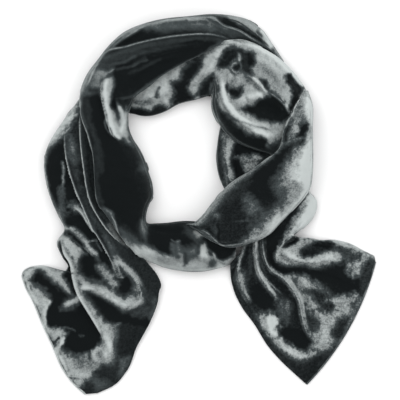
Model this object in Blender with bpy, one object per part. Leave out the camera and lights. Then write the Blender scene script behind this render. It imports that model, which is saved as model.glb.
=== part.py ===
"""A velvet scarf, wound nearly twice round and laid down flat in a loose ring.

The scarf is one long flat tube of velvet, pressed to a single wall. Where it is gathered, its hidden
layers share one rounded solid with layered sides. Where it spreads into its two ends, it is a thin wall.
Each stretch that shows is one object. It is worked out from a table of sections across the strip and a
table of folds, and an upper stretch lies on the stretches named as below it.

Plan places in the tables are steps on a square grid, x to the right and y down, STEP millimetres each.
Heights and widths are in millimetres.
"""

import math
from dataclasses import dataclass

import bmesh
import bpy
import numpy as np
from mathutils import Vector
from mathutils.bvhtree import BVHTree

MM = 0.001

# Driving sizes, in millimetres
SCARF_WIDTH = 200.0  # finished width of the strip, which is the length of an end's hem
WALL = 2.4  # both faces of the pressed velvet tube
SEAT_GAP = 0.3  # between touching stretches
SOLID = 60.0  # a thickness greater than any stretch is high: filled down to what it lies on

# The plan grid: an end's hem spans this many steps, and the scarf's middle is at this step
HEM_STEPS = 143.0
STEP = SCARF_WIDTH / HEM_STEPS
GRID_MIDDLE = (199.0, 205.0)

# How a gathered stretch is rounded and layered
ROUNDING = 2.4  # power of the rounded section: 2 is an ellipse, more is flatter on top
SIDE_LAYERS = ((0.62, 2.2), (0.40, 0.2))  # height fraction and inset of each ring down the side
FOOT_INSET = 2.0
DRAPE_REACH = 0.75  # how far a stretch bridges past what it lies on, in cells
SETTLE_ROUNDS = 1  # how often each height is evened out with its neighbours

VELVET_COLOUR = (0.012, 0.017, 0.018, 1.0)
VELVET_ROUGHNESS = 0.85


@dataclass(frozen=True)
class Section:
    """One line across the strip, seen along the strip's way."""

    left: tuple  # plan place of the left edge
    right: tuple  # plan place of the right edge
    crown: float  # height in the middle
    rim_left: float  # height at the left edge
    rim_right: float
    thick: float = SOLID  # wall under the top face
    bow: float = 0.0  # how far the middle lies ahead of the straight line


@dataclass(frozen=True)
class Fold:
    """A ridge, or with a negative rise a trough, along a path on the plan."""

    path: tuple
    rise: float
    left: float  # width to the left of the path
    right: float
    fade: float = 0.28  # part of the path over which each end dies out


@dataclass(frozen=True)
class Stretch:
    """One stretch of the scarf that shows."""

    name: str
    sections: tuple
    folds: tuple
    columns: int
    rows: int
    lies_on: tuple = ()
    follows: bool = False  # starts at the cut face of the stretch before it


LEFT_FOLDS = (
    Fold(((92, 238), (106, 262), (112, 300), (100, 345), (92, 376)), 11, 44, 44),
    Fold(((64, 130), (71, 167), (79, 189), (90, 220), (106, 245), (118, 264)), 9, 13, 11),
    Fold(((82, 140), (89, 187), (100, 218), (128, 249)), 7, 10, 10),
    Fold(((58, 150), (62, 180), (66, 206), (78, 224)), 5, 9, 9),
    Fold(((59, 240), (74, 268), (80, 292), (92, 314), (107, 338), (114, 356)), 11, 12, 10),
    Fold(((64, 224), (82, 238), (92, 252), (100, 276)), 7, 9, 9),
    Fold(((116, 260), (130, 276), (140, 292), (142, 308)), 9, 11, 11),
    Fold(((136, 310), (116, 305), (98, 295), (80, 292)), 7, 10, 10),
    Fold(((31, 271), (52, 284), (71, 295)), 4, 8, 8),
)

TOP_FOLDS = (
    Fold(((84, 88), (110, 52), (128, 40), (153, 31), (200, 25), (222, 31), (251, 44), (276, 58)), 8, 9, 7),
    Fold(((90, 86), (106, 62), (127, 50), (166, 41), (200, 38), (228, 42)), 8, 9, 8),
    Fold(((102, 90), (120, 72), (145, 60), (175, 51), (214, 42)), 6, 8, 8),
    Fold(((118, 92), (138, 78), (160, 66), (190, 55)), 5, 8, 8),
    Fold(((220, 15), (248, 28), (271, 50)), 5, 7, 8),
)

RISE_FOLDS = (
    Fold(((134, 252), (118, 224), (104, 211), (98, 200)), 5, 8, 10),
    Fold(((103, 222), (97, 196), (95, 165), (88, 134), (83, 106)), 7, 8, 12),
    Fold(((122, 144), (111, 130), (104, 100), (102, 76)), 9, 8, 16),
    Fold(((146, 224), (160, 227), (190, 228), (206, 233), (222, 246)), -5, 7, 7),
    Fold(((150, 254), (176, 259), (204, 260), (230, 254)), 5, 10, 10),
)

INNER_FOLDS = (
    Fold(((126, 108), (160, 98), (190, 86), (224, 54)), 7, 11, 10),
    Fold(((219, 72), (225, 106), (240, 126), (272, 146)), 6, 12, 12),
    Fold(((248, 74), (262, 88), (278, 98), (290, 120)), -7, 9, 9),
    Fold(((230, 48), (246, 58), (262, 66), (284, 86)), 6, 9, 9),
)

WRAP_FOLDS = (
    Fold(((306, 96), (306, 150), (298, 192), (272, 222), (246, 238), (214, 240)), 5, 14, 16),
    Fold(((296, 114), (288, 150), (262, 182), (228, 210)), 3, 14, 14),
)

UNDER_FOLDS = (
    Fold(((230, 128), (227, 158), (231, 188)), 6, 12, 8),
    Fold(((306, 184), (308, 208), (294, 226), (280, 248)), 6, 9, 9),
    Fold(((249, 230), (239, 264), (243, 289), (260, 318)), 10, 8, 8),
    Fold(((257, 230), (256, 260), (264, 283), (284, 312)), 9, 8, 8),
    Fold(((264, 230), (268, 264), (287, 282), (301, 306), (313, 344)), 11, 9, 9),
    Fold(((278, 244), (300, 254), (322, 262), (354, 280)), 5, 14, 14),
    Fold(((276, 262), (296, 270), (330, 282), (354, 302)), 4, 8, 12),
)

LEFT_TAIL = (
    Section((85, 395), (97, 394), 2.6, 2.4, 2.4, WALL),
    Section((75, 386), (112, 387), 3.4, 2.4, 2.4, WALL),
    Section((64, 372), (126, 372), 4.0, 2.4, 3.0, WALL),
    Section((53, 348), (136, 348), 4.5, 2.4, 5.0, WALL),
    Section((42, 324), (149, 324), 5.0, 2.4, 7.0, WALL),
    Section((32, 300), (157, 306), 6.0, 2.4, 8.0, WALL),
    Section((24, 284), (160, 292), 7.0, 2.4, 9.0, WALL),
    Section((22.5, 274), (159, 282), 8.0, 2.4, 9.0, 3.0),
    Section((36, 267.5), (155, 273), 9.0, 2.4, 9.0, 5.0),
    Section((56, 266), (148, 264), 12.0, 3.0, 9.0, 12.0),
    Section((63, 257), (138, 254), 17.0, 7.0, 9.0, 32.0),
    Section((57, 242), (126, 243), 22.0, 9.0, 9.0, SOLID),
    Section((64, 230), (117, 231), 24.0, 9.0, 9.0, SOLID),
)

OUTER_RISE = (
    Section((64, 230), (117, 231), 24.0, 9.0, 9.0),
    Section((58, 216), (114, 218), 25.0, 9.0, 9.0),
    Section((50, 198), (110, 198), 26.0, 9.0, 9.0),
    Section((45, 176), (108, 176), 26.0, 9.0, 9.0),
    Section((44, 158), (108, 156), 26.0, 9.0, 9.0),
    Section((50, 141), (110, 138), 25.0, 9.0, 9.0),
    Section((60, 125), (115, 123), 23.0, 9.0, 8.0),
    Section((70, 110), (121, 114), 20.0, 8.0, 7.0),
    Section((82, 95), (126, 112), 17.0, 7.0, 7.0),
    Section((98, 78), (131, 113), 16.0, 7.0, 7.0),
)

INNER_TOP = (
    Section((98, 78), (131, 113), 16.0, 7.0, 7.0),
    Section((114, 66), (140, 115), 18.0, 7.0, 8.0),
    Section((132, 56), (150, 115), 20.0, 7.0, 9.0),
    Section((150, 49), (164, 111), 22.0, 7.0, 9.0),
    Section((168, 44), (179, 103), 23.0, 7.0, 9.0),
    Section((186, 42), (194, 99), 24.0, 7.0, 9.0),
    Section((204, 38), (207, 96), 25.0, 8.0, 9.0),
    Section((227, 42), (212, 96), 27.0, 9.0, 9.0),
)

RIGHT_INNER = (
    Section((227, 42), (212, 96), 27.0, 9.0, 9.0),
    Section((238, 40), (211.5, 106), 40.0, 26.0, 11.0),
    Section((251, 43), (216, 119), 46.0, 30.0, 14.0),
    Section((264, 49), (226, 133), 49.0, 30.0, 20.0),
    Section((277, 57), (239, 143), 50.0, 28.0, 24.0),
    Section((290, 69), (254, 149), 49.0, 26.0, 26.0),
    Section((299, 82), (270, 154), 45.0, 24.0, 28.0),
    Section((301, 97), (284, 157), 38.0, 20.0, 26.0),
)

RIGHT_WRAP = (
    Section((307, 88), (304, 90), 40.0, 34.0, 36.0),
    Section((312, 105), (296, 104), 52.0, 26.0, 44.0),
    Section((312.5, 128), (284, 127), 56.0, 20.0, 46.0),
    Section((313, 150), (279, 148), 58.0, 18.0, 46.0),
    Section((312.5, 172), (264, 161), 58.0, 16.0, 38.0),
    Section((310, 188), (248, 172), 56.0, 16.0, 32.0),
    Section((303, 199), (234, 181), 54.0, 20.0, 26.0),
    Section((293, 210), (223, 190), 52.0, 24.0, 20.0),
    Section((281, 222), (214, 201), 50.0, 28.0, 14.0),
    Section((268, 235), (206, 211), 47.0, 30.0, 12.0),
    Section((250, 243), (200, 218), 44.0, 30.0, 12.0),
    Section((228, 247), (195, 222), 40.0, 28.0, 16.0),
    Section((210, 240), (191, 223), 35.0, 27.0, 20.0),
    Section((193, 228), (186, 223), 28.0, 22.0, 20.0),
)

BOTTOM_BAND = (
    Section((236, 262), (236, 226), 22.0, 8.0, 8.0),
    Section((222, 267), (220, 226), 24.0, 9.0, 8.0),
    Section((205, 271), (203, 223), 25.0, 9.0, 9.0),
    Section((188, 271.5), (184, 222), 26.0, 9.0, 9.0),
    Section((168, 268.5), (164, 224), 26.0, 9.0, 9.0),
    Section((151, 262), (148, 223.5), 26.0, 9.0, 9.0),
)

INNER_RISE = (
    Section((151, 262), (148, 223.5), 26.0, 9.0, 9.0),
    Section((138, 255), (145.5, 220), 33.0, 17.0, 10.0),
    Section((128, 245), (146, 212), 38.0, 26.0, 10.0),
    Section((117, 230), (149, 204), 41.0, 29.0, 10.0),
    Section((106, 215), (153, 195), 43.0, 31.0, 10.0),
    Section((98, 203), (152, 185), 45.0, 32.0, 10.0),
    Section((96, 189), (149, 174), 46.0, 33.0, 10.0),
    Section((95, 171), (145, 161), 46.0, 33.0, 10.0),
    Section((93, 152), (139, 149), 46.0, 33.0, 11.0),
    Section((88, 135), (132, 138), 45.0, 31.0, 12.0),
    Section((83, 121), (128, 127), 44.0, 28.0, 13.0),
    Section((80, 107), (128, 116), 43.0, 23.0, 16.0),
    Section((80, 93), (131, 106), 42.0, 16.0, 22.0),
    Section((86, 76), (135, 97), 42.0, 12.0, 26.0),
)

TOP_OUTER = (
    Section((86, 76), (135, 97), 42.0, 12.0, 26.0),
    Section((98, 59), (147, 87), 42.0, 11.0, 26.0),
    Section((110, 44), (159, 78), 42.0, 10.0, 28.0),
    Section((124, 32), (170, 71), 42.0, 10.0, 29.0),
    Section((142, 24), (182, 64), 42.0, 10.0, 29.0),
    Section((165, 18.5), (194, 58), 41.0, 10.0, 29.0),
    Section((190, 16), (206, 52), 39.0, 10.0, 29.0),
    Section((212, 14), (217, 49), 37.0, 10.0, 28.0),
    Section((232, 15.5), (226, 52), 34.0, 10.0, 26.0),
    Section((249, 20), (231, 57), 31.0, 10.0, 20.0),
    Section((262, 29), (235, 61), 28.0, 9.0, 12.0),
    Section((271, 42), (238, 65), 25.0, 9.0, 9.0),
    Section((283, 60), (240, 70), 22.0, 8.0, 8.0),
)

RIGHT_UNDER = (
    Section((283, 60), (240, 70), 22.0, 8.0, 8.0),
    Section((290, 79), (232, 88), 20.0, 8.0, 8.0),
    Section((293, 100), (226, 108), 20.0, 8.0, 8.0),
    Section((294, 120), (221, 126), 21.0, 8.0, 8.0),
    Section((294, 140), (218, 144), 22.0, 8.0, 9.0),
    Section((295, 160), (216.5, 160), 23.0, 8.0, 9.0),
    Section((299, 176), (219, 176), 24.0, 9.0, 9.0),
    Section((309, 190), (225, 190), 25.0, 9.0, 9.0),
    Section((317, 202), (234, 204), 25.0, 9.0, 9.0),
    Section((314, 216), (240, 216), 25.0, 9.0, 9.0),
    Section((305, 227), (243, 227), 25.0, 9.0, 9.0),
    Section((294, 235), (243, 238), 24.0, 9.0, 9.0),
)

RIGHT_TAIL = (
    Section((294, 235), (243, 238), 24.0, 9.0, 9.0),
    Section((301, 238), (241, 251), 21.0, 8.0, 8.0, 40.0),
    Section((310, 238), (232, 262), 16.0, 6.0, 7.0, 20.0),
    Section((321, 240), (231, 273), 10.0, 4.0, 5.0, 9.0),
    Section((333, 240), (234, 290), 7.0, 2.6, 3.0, 4.0, 2.0),
    Section((344, 242), (242, 307), 5.0, 2.4, 2.4, WALL, 4.0),
    Section((353, 245), (255, 325), 4.0, 2.4, 2.4, WALL, 6.0),
    Section((362, 250), (268, 346), 4.0, 2.4, 2.4, WALL, 8.0),
    Section((370, 254), (283, 363), 3.4, 2.4, 2.4, WALL, 10.0),
    Section((375, 257), (297, 376), 3.0, 2.4, 2.4, WALL, 12.0),
    Section((376, 262), (307, 385), 2.4, 2.4, 2.4, WALL, 13.0),
)

# From the lowest stretch up, so that each finds the ones it lies on
STRETCHES = (
    Stretch("left_tail", LEFT_TAIL, LEFT_FOLDS, 24, 24),
    Stretch("outer_rise", OUTER_RISE, LEFT_FOLDS, 14, 18, follows=True),
    Stretch("inner_top", INNER_TOP, INNER_FOLDS, 14, 14, follows=True),
    Stretch("right_under", RIGHT_UNDER, UNDER_FOLDS, 14, 18, follows=True),
    Stretch("bottom_band", BOTTOM_BAND, RISE_FOLDS, 12, 10),
    Stretch("right_tail", RIGHT_TAIL, UNDER_FOLDS, 24, 22, ("bottom_band",), True),
    Stretch("inner_rise", INNER_RISE, RISE_FOLDS, 14, 22, ("left_tail", "outer_rise", "inner_top"), True),
    Stretch("top_outer", TOP_OUTER, TOP_FOLDS, 16, 22, ("outer_rise", "inner_top"), True),
    Stretch("right_inner", RIGHT_INNER, INNER_FOLDS, 14, 14, ("top_outer", "right_under"), True),
    Stretch("right_wrap", RIGHT_WRAP, WRAP_FOLDS, 14, 22,
            ("right_inner", "right_under", "bottom_band", "right_tail")),
)


def clear_scene():
    """Remove every object already in the scene."""
    for item in list(bpy.data.objects):
        bpy.data.objects.remove(item, do_unlink=True)


def plan(place):
    """Turn a grid place into millimetres from the scarf's middle."""
    x = (place[0] - GRID_MIDDLE[0]) * STEP
    y = (GRID_MIDDLE[1] - place[1]) * STEP
    return np.array((x, y))


def smooth_through(knots, count):
    """Give count rows on an even smooth curve through the knots, spaced by their first two columns."""
    knots = np.asarray(knots, float)
    middle = knots[:, :2]
    steps = np.linalg.norm(np.diff(middle, axis=0), axis=1)
    along = np.concatenate(((0.0,), np.cumsum(np.maximum(steps, 1e-6))))
    slopes = np.gradient(knots, along, axis=0)
    wanted = np.linspace(0.0, along[-1], count)
    index = np.clip(np.searchsorted(along, wanted, side="right") - 1, 0, len(along) - 2)
    span = (along[index + 1] - along[index])[:, None]
    t = (wanted - along[index])[:, None] / span
    start, end = knots[index], knots[index + 1]
    leave, arrive = slopes[index] * span, slopes[index + 1] * span
    return (
        (2 * t**3 - 3 * t**2 + 1) * start
        + (t**3 - 2 * t**2 + t) * leave
        + (3 * t**2 - 2 * t**3) * end
        + (t**3 - t**2) * arrive
    )


def fold_height(fold, points):
    """Work out how much a fold lifts each plan point."""
    path = smooth_through([plan(p) for p in fold.path], 8 * len(fold.path))
    start, step = path[:-1], np.diff(path, axis=0)
    length = np.linalg.norm(step, axis=1)
    along = np.concatenate(((0.0,), np.cumsum(length)))
    offset = points[:, None, :] - start[None]
    t = np.clip((offset * step[None]).sum(2) / (length**2)[None], 0.0, 1.0)
    away = offset - t[..., None] * step[None]
    distance = np.linalg.norm(away, axis=2)
    nearest = distance.argmin(axis=1)
    pick = np.arange(len(points))
    side = step[nearest, 0] * away[pick, nearest, 1] - step[nearest, 1] * away[pick, nearest, 0]
    width = np.where(side > 0, fold.left, fold.right)
    part = np.clip(distance[pick, nearest] / width, 0.0, 1.0)
    at = (along[nearest] + t[pick, nearest] * length[nearest]) / along[-1]
    ends = np.clip(np.minimum(at, 1.0 - at) / fold.fade, 0.0, 1.0)
    return fold.rise * 0.5 * (1.0 + np.cos(math.pi * part)) * np.sin(0.5 * math.pi * ends)


def settle(height):
    """Even out a grid of heights, as cloth does, keeping its rim."""
    for _ in range(SETTLE_ROUNDS):
        inside = height[1:-1, 1:-1]
        sides = height[:-2, 1:-1] + height[2:, 1:-1] + height[1:-1, :-2] + height[1:-1, 2:]
        height[1:-1, 1:-1] = 0.5 * inside + 0.125 * sides
    return height


def top_face(stretch):
    """Lay out a stretch's top face as a grid.

    Returns the plan places and heights, and each vertex's wall thickness.
    """
    knots = []
    for s in stretch.sections:
        left, right = plan(s.left), plan(s.right)
        knots.append((*(left + right) / 2, *left, *right, s.crown, s.rim_left, s.rim_right, s.thick, s.bow))
    rows = smooth_through(knots, stretch.rows + 1)
    even = np.linspace(0.0, 1.0, stretch.columns + 1)
    u = 0.5 * even + 0.25 * (1.0 - np.cos(math.pi * even))
    arch = (1.0 - np.abs(2.0 * u - 1.0) ** ROUNDING) ** (1.0 / ROUNDING)
    left, right = rows[:, None, 2:4], rows[:, None, 4:6]
    place = left + (right - left) * u[None, :, None]
    chord = right[:, 0] - left[:, 0]
    ahead = np.stack((-chord[:, 1], chord[:, 0]), axis=1)
    ahead /= np.linalg.norm(ahead, axis=1)[:, None]
    place = place + ahead[:, None] * (rows[:, 10, None] * (1.0 - (2.0 * u - 1.0) ** 2)[None])[..., None]
    if stretch.follows:
        place[0] += ahead[0] * SEAT_GAP
    rim = rows[:, 7, None] * (1.0 - u)[None] + rows[:, 8, None] * u[None]
    height = rim + (rows[:, 6, None] - rim) * arch[None]
    flat = place.reshape(-1, 2)
    lift = sum(fold_height(fold, flat) for fold in stretch.folds).reshape(height.shape)
    edge = np.sqrt(arch)[None] if rows[:, 9].min() > WALL else 1.0
    height = settle(np.maximum(height + lift * edge, WALL))
    thick = np.repeat(rows[:, 9, None], stretch.columns + 1, axis=1)
    return place, height, thick


def ground_under(place, below, reach):
    """Find how high the stretches below stand within reach of each plan place."""
    ground = np.zeros(place.shape[:2])
    if not below:
        return ground
    turns = [math.tau * k / 12 for k in range(12)]
    probes = [(0.0, 0.0)]
    probes += [(r * reach * math.cos(a), r * reach * math.sin(a)) for a in turns for r in (0.5, 1.0)]
    down = Vector((0.0, 0.0, -1.0))
    for row, column in np.ndindex(*ground.shape):
        x, y = place[row, column]
        for dx, dy in probes:
            for tree in below:
                hit = tree.ray_cast(Vector((x + dx, y + dy, 500.0)), down)[0]
                if hit is not None:
                    ground[row, column] = max(ground[row, column], hit.z + SEAT_GAP)
    return ground


def inset_edges(place, amount):
    """Move the left and right edges of a grid inwards."""
    moved = place.copy()
    for edge, inner in ((0, 1), (-1, -2)):
        inwards = place[:, inner] - place[:, edge]
        inwards /= np.linalg.norm(inwards, axis=1)[:, None]
        moved[:, edge] += inwards * amount
    return moved


def rim_places(grid):
    """List a grid's outer places in order, counter-clockwise seen from above."""
    last_row, last_column = grid.shape[0] - 1, grid.shape[1] - 1
    order = [(0, c) for c in range(last_column + 1)]
    order += [(r, last_column) for r in range(1, last_row + 1)]
    order += [(last_row, c) for c in range(last_column - 1, -1, -1)]
    order += [(r, 0) for r in range(last_row - 1, 0, -1)]
    return order


def add_vertices(mesh, place, height):
    """Add a grid of vertices and return them as an array of the same shape."""
    verts = np.empty(height.shape, dtype=object)
    for at in np.ndindex(*height.shape):
        verts[at] = mesh.verts.new((*place[at], height[at]))
    return verts


def add_grid_faces(mesh, verts, upward):
    """Skin a grid of vertices with triangles."""
    for r, c in np.ndindex(verts.shape[0] - 1, verts.shape[1] - 1):
        a, b, d, e = verts[r, c], verts[r, c + 1], verts[r + 1, c + 1], verts[r + 1, c]
        for corners in ((a, b, d), (a, d, e)):
            mesh.faces.new(corners if upward else corners[::-1])


def add_band(mesh, upper, lower):
    """Join two rims of the same length with a closed band facing outwards."""
    for i, top in enumerate(upper):
        j = (i + 1) % len(upper)
        mesh.faces.new((top, lower[i], lower[j]))
        mesh.faces.new((top, lower[j], upper[j]))


def build_stretch(stretch, trees, material):
    """Make one stretch as a closed solid, and record its top for the stretches above."""
    place, height, thick = top_face(stretch)
    across = np.linalg.norm(np.diff(place, axis=1), axis=2).max()
    along = np.linalg.norm(np.diff(place, axis=0), axis=2).max()
    reach = DRAPE_REACH * math.hypot(across, along)
    foot_inset = FOOT_INSET if thick.min() > WALL else 0.0
    foot_place = inset_edges(place, foot_inset)
    ground = ground_under(foot_place, [trees[name] for name in stretch.lies_on], reach)
    height = np.maximum(height, ground + WALL)
    slope = np.hypot(*np.gradient(height, axis=(0, 1))) / min(across, along)
    foot = np.maximum(ground, height - thick * np.sqrt(1.0 + np.minimum(slope, 1.5) ** 2))
    mesh = bmesh.new()
    order = rim_places(height)
    top = add_vertices(mesh, place, height)
    add_grid_faces(mesh, top, True)
    rim = [top[at] for at in order]
    if foot_inset:
        for fraction, inset in SIDE_LAYERS:
            layer = inset_edges(place, inset)
            level = foot + (height - foot) * fraction
            ring = [mesh.verts.new((*layer[at], level[at])) for at in order]
            add_band(mesh, rim, ring)
            rim = ring
    if foot.max() > 0.0:
        bottom = add_vertices(mesh, foot_place, foot)
        add_grid_faces(mesh, bottom, False)
        add_band(mesh, rim, [bottom[at] for at in order])
    else:
        ring = [mesh.verts.new((*foot_place[at], 0.0)) for at in order]
        add_band(mesh, rim, ring)
        mesh.faces.new(ring[::-1])
    bmesh.ops.recalc_face_normals(mesh, faces=mesh.faces)
    trees[stretch.name] = BVHTree.FromBMesh(mesh)
    bmesh.ops.scale(mesh, vec=(MM, MM, MM), verts=mesh.verts)
    data = bpy.data.meshes.new(stretch.name)
    mesh.to_mesh(data)
    mesh.free()
    data.materials.append(material)
    data.shade_smooth()
    data.set_sharp_from_angle(angle=math.radians(50))
    piece = bpy.data.objects.new(stretch.name, data)
    bpy.context.scene.collection.objects.link(piece)


def velvet(name):
    """Make the matt, near-black velvet of one stretch."""
    material = bpy.data.materials.new(name)
    material.use_nodes = True
    shader = material.node_tree.nodes["Principled BSDF"]
    shader.inputs["Base Color"].default_value = VELVET_COLOUR
    shader.inputs["Roughness"].default_value = VELVET_ROUGHNESS
    shader.inputs["Metallic"].default_value = 0.0
    return material


def main():
    clear_scene()
    trees = {}
    for stretch in STRETCHES:
        build_stretch(stretch, trees, velvet(f"velvet_{stretch.name}"))


main()
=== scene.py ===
"""The looks of a crushed-velvet scarf, wound nearly twice round and laid down in a loose ring.

The scarf is one long tube of velvet. It is dressed as five pieces of cloth, each running on under the
stretches that cross it. A piece is worked out from sections across the strip, from folds along paths, and
from strokes and patches of tone, which lay the pile light or dark and also paint light and shade onto it:
highlights on slopes, rims and crests, and shade in hollows and under overlapping cloth.

Plan places are steps on a square grid, x to the right and y down. Other sizes are in millimetres, and
meshes are made in metres.
"""

from __future__ import annotations

import logging
import math
from dataclasses import dataclass
from enum import Enum, IntEnum

import bpy
import numpy as np
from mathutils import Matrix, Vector


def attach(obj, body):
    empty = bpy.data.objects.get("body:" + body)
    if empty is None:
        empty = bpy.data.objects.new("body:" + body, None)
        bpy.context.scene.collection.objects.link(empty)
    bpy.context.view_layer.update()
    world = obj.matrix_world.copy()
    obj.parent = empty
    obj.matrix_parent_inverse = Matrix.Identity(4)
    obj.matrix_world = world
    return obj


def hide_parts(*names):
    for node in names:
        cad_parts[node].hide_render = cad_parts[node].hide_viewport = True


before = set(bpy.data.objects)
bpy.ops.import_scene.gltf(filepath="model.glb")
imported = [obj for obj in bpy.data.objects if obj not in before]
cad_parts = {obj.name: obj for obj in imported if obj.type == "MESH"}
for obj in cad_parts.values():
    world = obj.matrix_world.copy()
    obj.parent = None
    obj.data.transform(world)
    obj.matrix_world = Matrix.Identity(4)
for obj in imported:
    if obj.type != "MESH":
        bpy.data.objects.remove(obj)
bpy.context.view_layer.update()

log = logging.getLogger("scarf")

Place = tuple[float, float]
Path = tuple[float, ...]  # x and y of each place, in turn

MM = 0.001

# Driving sizes, in millimetres
SCARF_WIDTH = 200.0
WALL = 2.4
SEAT_GAP = 0.3
SOLID = 60.0  # a thickness greater than any stretch is high: filled down to what it lies on

# The plan grid: an end's hem spans this many steps, and the scarf's middle is at this step
HEM_STEPS = 143.0
STEP = SCARF_WIDTH / HEM_STEPS
GRID_MIDDLE: Place = (199.0, 205.0)

ROUNDING = 2.4  # power of the rounded section: 2 is an ellipse, more is flatter on top
EDGE_TURN = 0.035  # part of the width in which the cloth turns down at each edge
EDGE_COLUMNS = 5  # of vertices in that part
INNER_COLUMN = 3  # shows which way is inwards
THIN_CLOTH = 2.0 * WALL  # a stretch thinner than this has no layered sides
STEEPEST = 1.5  # slope past which a leaning wall gets no thicker
LEAST_SPREAD = 0.2
LEAST_WAY = 0.01
BARE = 0.5  # a heap lower than this is bare table
SAMPLED = (0.0, 0.33, 0.67)  # of the way between vertices, where the heap feels the cloth
LINE_POINTS = 6  # of a path's smooth line, to each of its places
LATTICE = 256  # size of the random lattice behind every noise
NOISE_MIDDLE = 0.5  # of the noises in the nodes, which run from 0 to 1
TINY = 1e-6

# Folds
CREST_SHINE = 1.5  # how wide the painted highlight line on a fold's crest is
CREST_FALL = 1.5  # power with which that line fades
LEAN_EDGE = 3.0  # how soon a crest leans in full, inwards

# Crushed ripples: size and share of each noise, and how far they wander
RIPPLES = ((15.0, 1.0), (7.0, 0.55), (3.2, 0.2))
RIPPLE_WANDER = 5.0
RIPPLE_WANDER_SIZE = 17.0
RIPPLE_EDGE = 1.5  # how soon they are full, inwards

# Edges of the laid pile: size and depth of their tears, and how far an outline wanders
TEARS = ((5.5, 1.6), (2.6, 1.4))
EDGE_WANDER = 1.3
EDGE_WANDER_SIZE = 9.0
TEAR_SHARE = 0.3  # of the blur at an edge
TEAR_MOST = 2.0
EVEN_TEAR = 0.3  # share of the tears that unworn pile shows
EDGE_REACH = 2.0  # how far an edge is felt, for its blur
PATCH_BLUR = 2.0  # to each side of an outline, for its blur

# Layers pressed into the steep parts of a top face
LAYER_HEIGHT = 11.0
LAYER_LEAN = (0.35, 0.75)
LAYER_BEND = 7.0
LAYER_BEND_SIZE = 55.0
LAYER_DEPTH = 1.9
LAYER_UNEVEN = 1.3
LAYER_UNEVEN_SIZE = 40.0
LAYER_ROUND = 0.6  # power of their section: less is fuller
LAYER_MIDDLE = 0.75  # part of their depth that sinks into the form
LEAST_OUT = 0.05
SIDES_APART = 400.0  # keeps the patterns of both sides apart

# Layers stacked down the sides, from the rim to the underside
SIDE_LAYERS = 4
SIDE_RINGS = ((0.22, 0.8), (0.72, 0.95), (0.97, 0.0))  # part of a layer's height, and its bulge there
SIDE_DEPTH = 0.16  # of the drop
SIDE_DEEPEST = 3.2
SIDE_MEAN = 0.6  # mean share of that depth; the rest comes and goes
SIDE_UNEVEN_SIZE = 38.0
SIDE_OUT = 0.4  # how far the fullest of it stands out
SEAM_WANDER = 0.3
SEAM_SIZE = 70.0
PATTERNS_APART = 1000.0  # from layer to layer
TUCK = 0.15  # how far the foot is tucked in, for its drop
TUCK_MOST = 2.0

# Light and shade painted on the pile. A lean is 1 less the normal's upright part, where a look starts and is
# full
SLOPE_LEAN = (0.04, 0.4)
STEEP_LEAN = (0.5, 0.85)
SIDE_LEAN = (0.84, 0.97)
RIM_LEAN = (0.2, 0.7)
PAINTED_RIM_HIGHLIGHT = 0.35  # painted rim highlight, added to the pile's tone on slopes that face left
RIM_LEAST = 0.1  # of the left-facing part, on every slope
SHINE_WAY = (0.78, 0.62)  # painted light and shade: slopes that face this way on the plan are painted lighter, those facing away darker
SHINE_LEAST = 0.12
UNDERSIDE_TONE = 0.12

# Uneven pile down the sides: size of its blotches and spots, and how much their heights are stretched
BLOTCH_SIZE, LAYER_BLOTCH_SIZE, SPOT_SIZE = 26.0, 24.0, 9.0
BLOTCH_STRETCH, SPOT_STRETCH = 2.2, 1.5
SPOT_SHARE = 0.5
BLOTCH_EDGE = (-0.5, 0.7)
BLOTCH_FLOOR, LAYER_FLOOR = 0.45, 0.2  # share of the light that the darkest blotch has
STEEP_SHARE = 0.8  # of the steep parts' tone that the blotches set
STEEP_LEAST, STEEP_FOLLOW = 0.15, 1.25  # share of the blotches on black pile, and what lighter pile adds
STEEP_MOST = 1.2
SIDE_SHARE = 0.7
SIDE_DIM = 0.75
SIDE_BLEND = (3.0, 12.0)  # drop at which the top's tone starts to fade, and is gone
PAINTED_HOLLOW_SHADE = 0.35  # painted shade: share of the tone kept in the hollow between two layers

HEM_MIDDLE = 1.6  # height of a hem's roll, at its middle


class Pattern(IntEnum):
    """Each noise pattern of a piece, as a step from its seed."""

    RIPPLE = 0
    RIPPLE_WANDER = 5
    EDGE_WANDER = 7
    TEAR = 9
    LAYER_BEND = 14
    LAYER_UNEVEN = 15
    BLOTCH = 16
    SEAM = 20
    SIDE_UNEVEN = 21
    LAYER_BLOTCH = 22


class Held(Enum):
    """How a piece of cloth is held."""

    LAID = "laid"
    GATHERED = "gathered"
    FOLDED = "folded"


@dataclass(frozen=True)
class Section:
    """One line across the strip, seen along the strip's way."""

    left: Place
    right: Place
    crown: float
    rim_left: float
    rim_right: float
    thick: float = SOLID
    bow: float = 0.0
    over: float = 0.0  # 1 where it lies on the cloth below, 0 where it lies on the table


@dataclass(frozen=True)
class Fold:
    """A ridge, or with a negative rise a trough, along a path on the plan."""

    path: Path
    rise: float
    left: float  # width to the left of the path
    right: float
    hang: float = 0.0  # how far the crest leans over, to the left, or to the right if negative
    painted_crest_highlight: float = 0.0  # painted highlight: how light the pile is painted along the crest
    glow: float = 0.0  # how far that light runs down to the left, or to the right if negative
    fade: float = 0.18


@dataclass(frozen=True)
class Stroke:
    """A stroke along a path, which lays the pile light or dark or paints light or shade onto it. Its width is
    in plan steps, to each side.
    """

    path: Path
    width: float
    tone: float  # 0 paints the pile dark, 1 light, for laid pile or for painted light and shade


@dataclass(frozen=True)
class Patch:
    """An area inside an outline, where the pile is laid one way or light or shade is painted. It fades over
    blur plan steps at its edge.
    """

    outline: Path
    tone: float
    blur: float = 2.0


def plan(place: Place) -> np.ndarray:
    """Turn a grid place into millimetres from the scarf's middle."""
    return np.array(((place[0] - GRID_MIDDLE[0]) * STEP, (GRID_MIDDLE[1] - place[1]) * STEP))


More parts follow.
